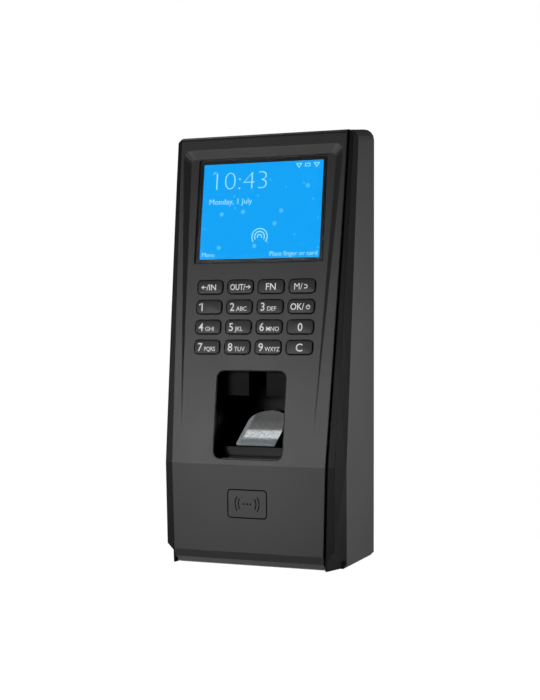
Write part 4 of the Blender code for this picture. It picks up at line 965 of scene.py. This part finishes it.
# %% [markdown]
# ## Lining of the finger window
# The opening's walls are covered with a thin black rim, a painted shade that keeps the cover's cut edge
# as dark as the shadow on it. It is a rounded bar with its middle cut out, and it stays inside the
# opening that CAD leaves.

# %% Model the painted-shade lining
WINDOW = (33.3 * MM, 39.1 * MM)
WINDOW_PLAY = 0.1 * MM
WINDOW_CORNER = 3.3 * MM
LINING = 0.35 * MM
LINING_DEPTH = 2.1 * MM
KEYS_TO_WINDOW = 56.55 * MM         # down the panel, from the top row of keys
window_up = sum(reach("key_in", UP)) / 2 - KEYS_TO_WINDOW
panel_out = key_front - 0.7 * MM    # a little below the panel's surface
lining_middle = OUT * (panel_out - LINING_DEPTH / 2) + UP * window_up
shade_lining = add_box("window_shade_lining", lining_middle,
                 (WINDOW[0] - WINDOW_PLAY, WINDOW[1] - WINDOW_PLAY, LINING_DEPTH))
bevel(shade_lining, WINDOW_CORNER, 5, upright)
inside = add_box("window_inside", lining_middle,
                 (WINDOW[0] - 2 * LINING, WINDOW[1] - 2 * LINING, LINING_DEPTH * 3))
bevel(inside, WINDOW_CORNER - LINING, 5, upright)
subtract(shade_lining, inside)
# painted shade: the black sheet keeps the cut edge dark
settle(shade_lining, "terminal", materials["well_black"])
print("lining:", len(shade_lining.data.polygons), "faces")

# %% [markdown]
# ## Screws
# Three sizes of pan-head screw hold the terminal. Each is turned from a disc and a shank, with a cross
# recess cut by two crossed bars; the CAD screws give their places and the way they point.

# %% Model a screw
HEAD_BEVEL, BAR_LENGTH, BAR_WIDTH, SHANK_BEVEL = 0.35, 1.15, 0.24, 0.35
HEAD_TO_SHANK = 0.02 * MM


def add_screw(name, place, turn, head_radius, head_height, shank_radius, length):
    """Model a screw whose head looks along its own Z, from the middle of its whole length."""
    top = length / 2
    head = add_disc(name, (0, 0, top - head_height / 2), head_radius, head_height, (0, 0, 0), 40)
    bevel(head, head_height * HEAD_BEVEL, 3, front_rim)
    bar_size = (head_radius * BAR_LENGTH, head_radius * BAR_WIDTH, head_height)
    bars = [add_box("bar", (0, 0, top), bar_size, (0, 0, quarter * math.pi / 2))
            for quarter in (0, 1)]
    for bar in bars:
        subtract(head, bar)
    rest = length - head_height - HEAD_TO_SHANK
    shank = add_disc("shank", (0, 0, -top + rest / 2), shank_radius, rest, (0, 0, 0), 24)
    bevel(shank, shank_radius * SHANK_BEVEL, 2, back_rim)
    screw = join(name, [head, shank])
    smooth(screw, 40)
    screw.location, screw.rotation_euler = place, turn
    return settle(screw, "terminal", materials["steel"])


SCREW_TURNS = {"cover": (-math.pi / 2, 0.0, 0.0), "board": (math.pi / 2, 0.0, 0.0),
               "locking": (math.pi, 0.0, 0.0)}
HEAD_SHARE = 0.55                   # head height and shank radius, as shares of the head's radius
for name in sorted(nodes):
    if "screw" not in name:
        continue
    low, high = (Vector(corner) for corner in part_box(name))
    size = high - low
    head = min(size) / 2
    made = add_screw(f"cross_{name}", (low + high) / 2, SCREW_TURNS[name.split("_")[0]], head,
                     head * HEAD_SHARE, head * HEAD_SHARE, max(size))
    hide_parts(name)
print("screws done")

# %% [markdown]
# ## Contacts of the network socket
# Looking into the back one sees eight gilded springs in the socket. They are small slanting bars, placed
# from the CAD box of the socket.

# %% Model the contacts
SPRINGS = 8
SPRING_PITCH = 1.02 * MM
SPRING_SIZE = (0.34 * MM, 5.0 * MM, 0.20 * MM)
SPRING_TURN = (math.radians(-20), 0.0, 0.0)
gilt = solid_finish("gilt", (0.75, 0.52, 0.18), (0.90, 0.72, 0.36), rough=0.28, grain=900.0,
                    depth=0.000006, radius=0.00005, wear=0.4, dust=0.0, metallic=1.0)
low, high = (Vector(corner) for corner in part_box("network_socket"))
middle = (low + high) / 2
springs = []
for step in range(SPRINGS):
    across = middle.x + (step - (SPRINGS - 1) / 2) * SPRING_PITCH
    springs.append(add_box("spring", (across, low.y + 4.2 * MM, middle.z - 1.2 * MM),
                           SPRING_SIZE, SPRING_TURN))
settle(join("socket_contacts", springs), "terminal", gilt)
print("springs:", len(springs))

# %% [markdown]
# ## Sizes
# The box of everything shown is measured.

# %% Measure the sizes
low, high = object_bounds()
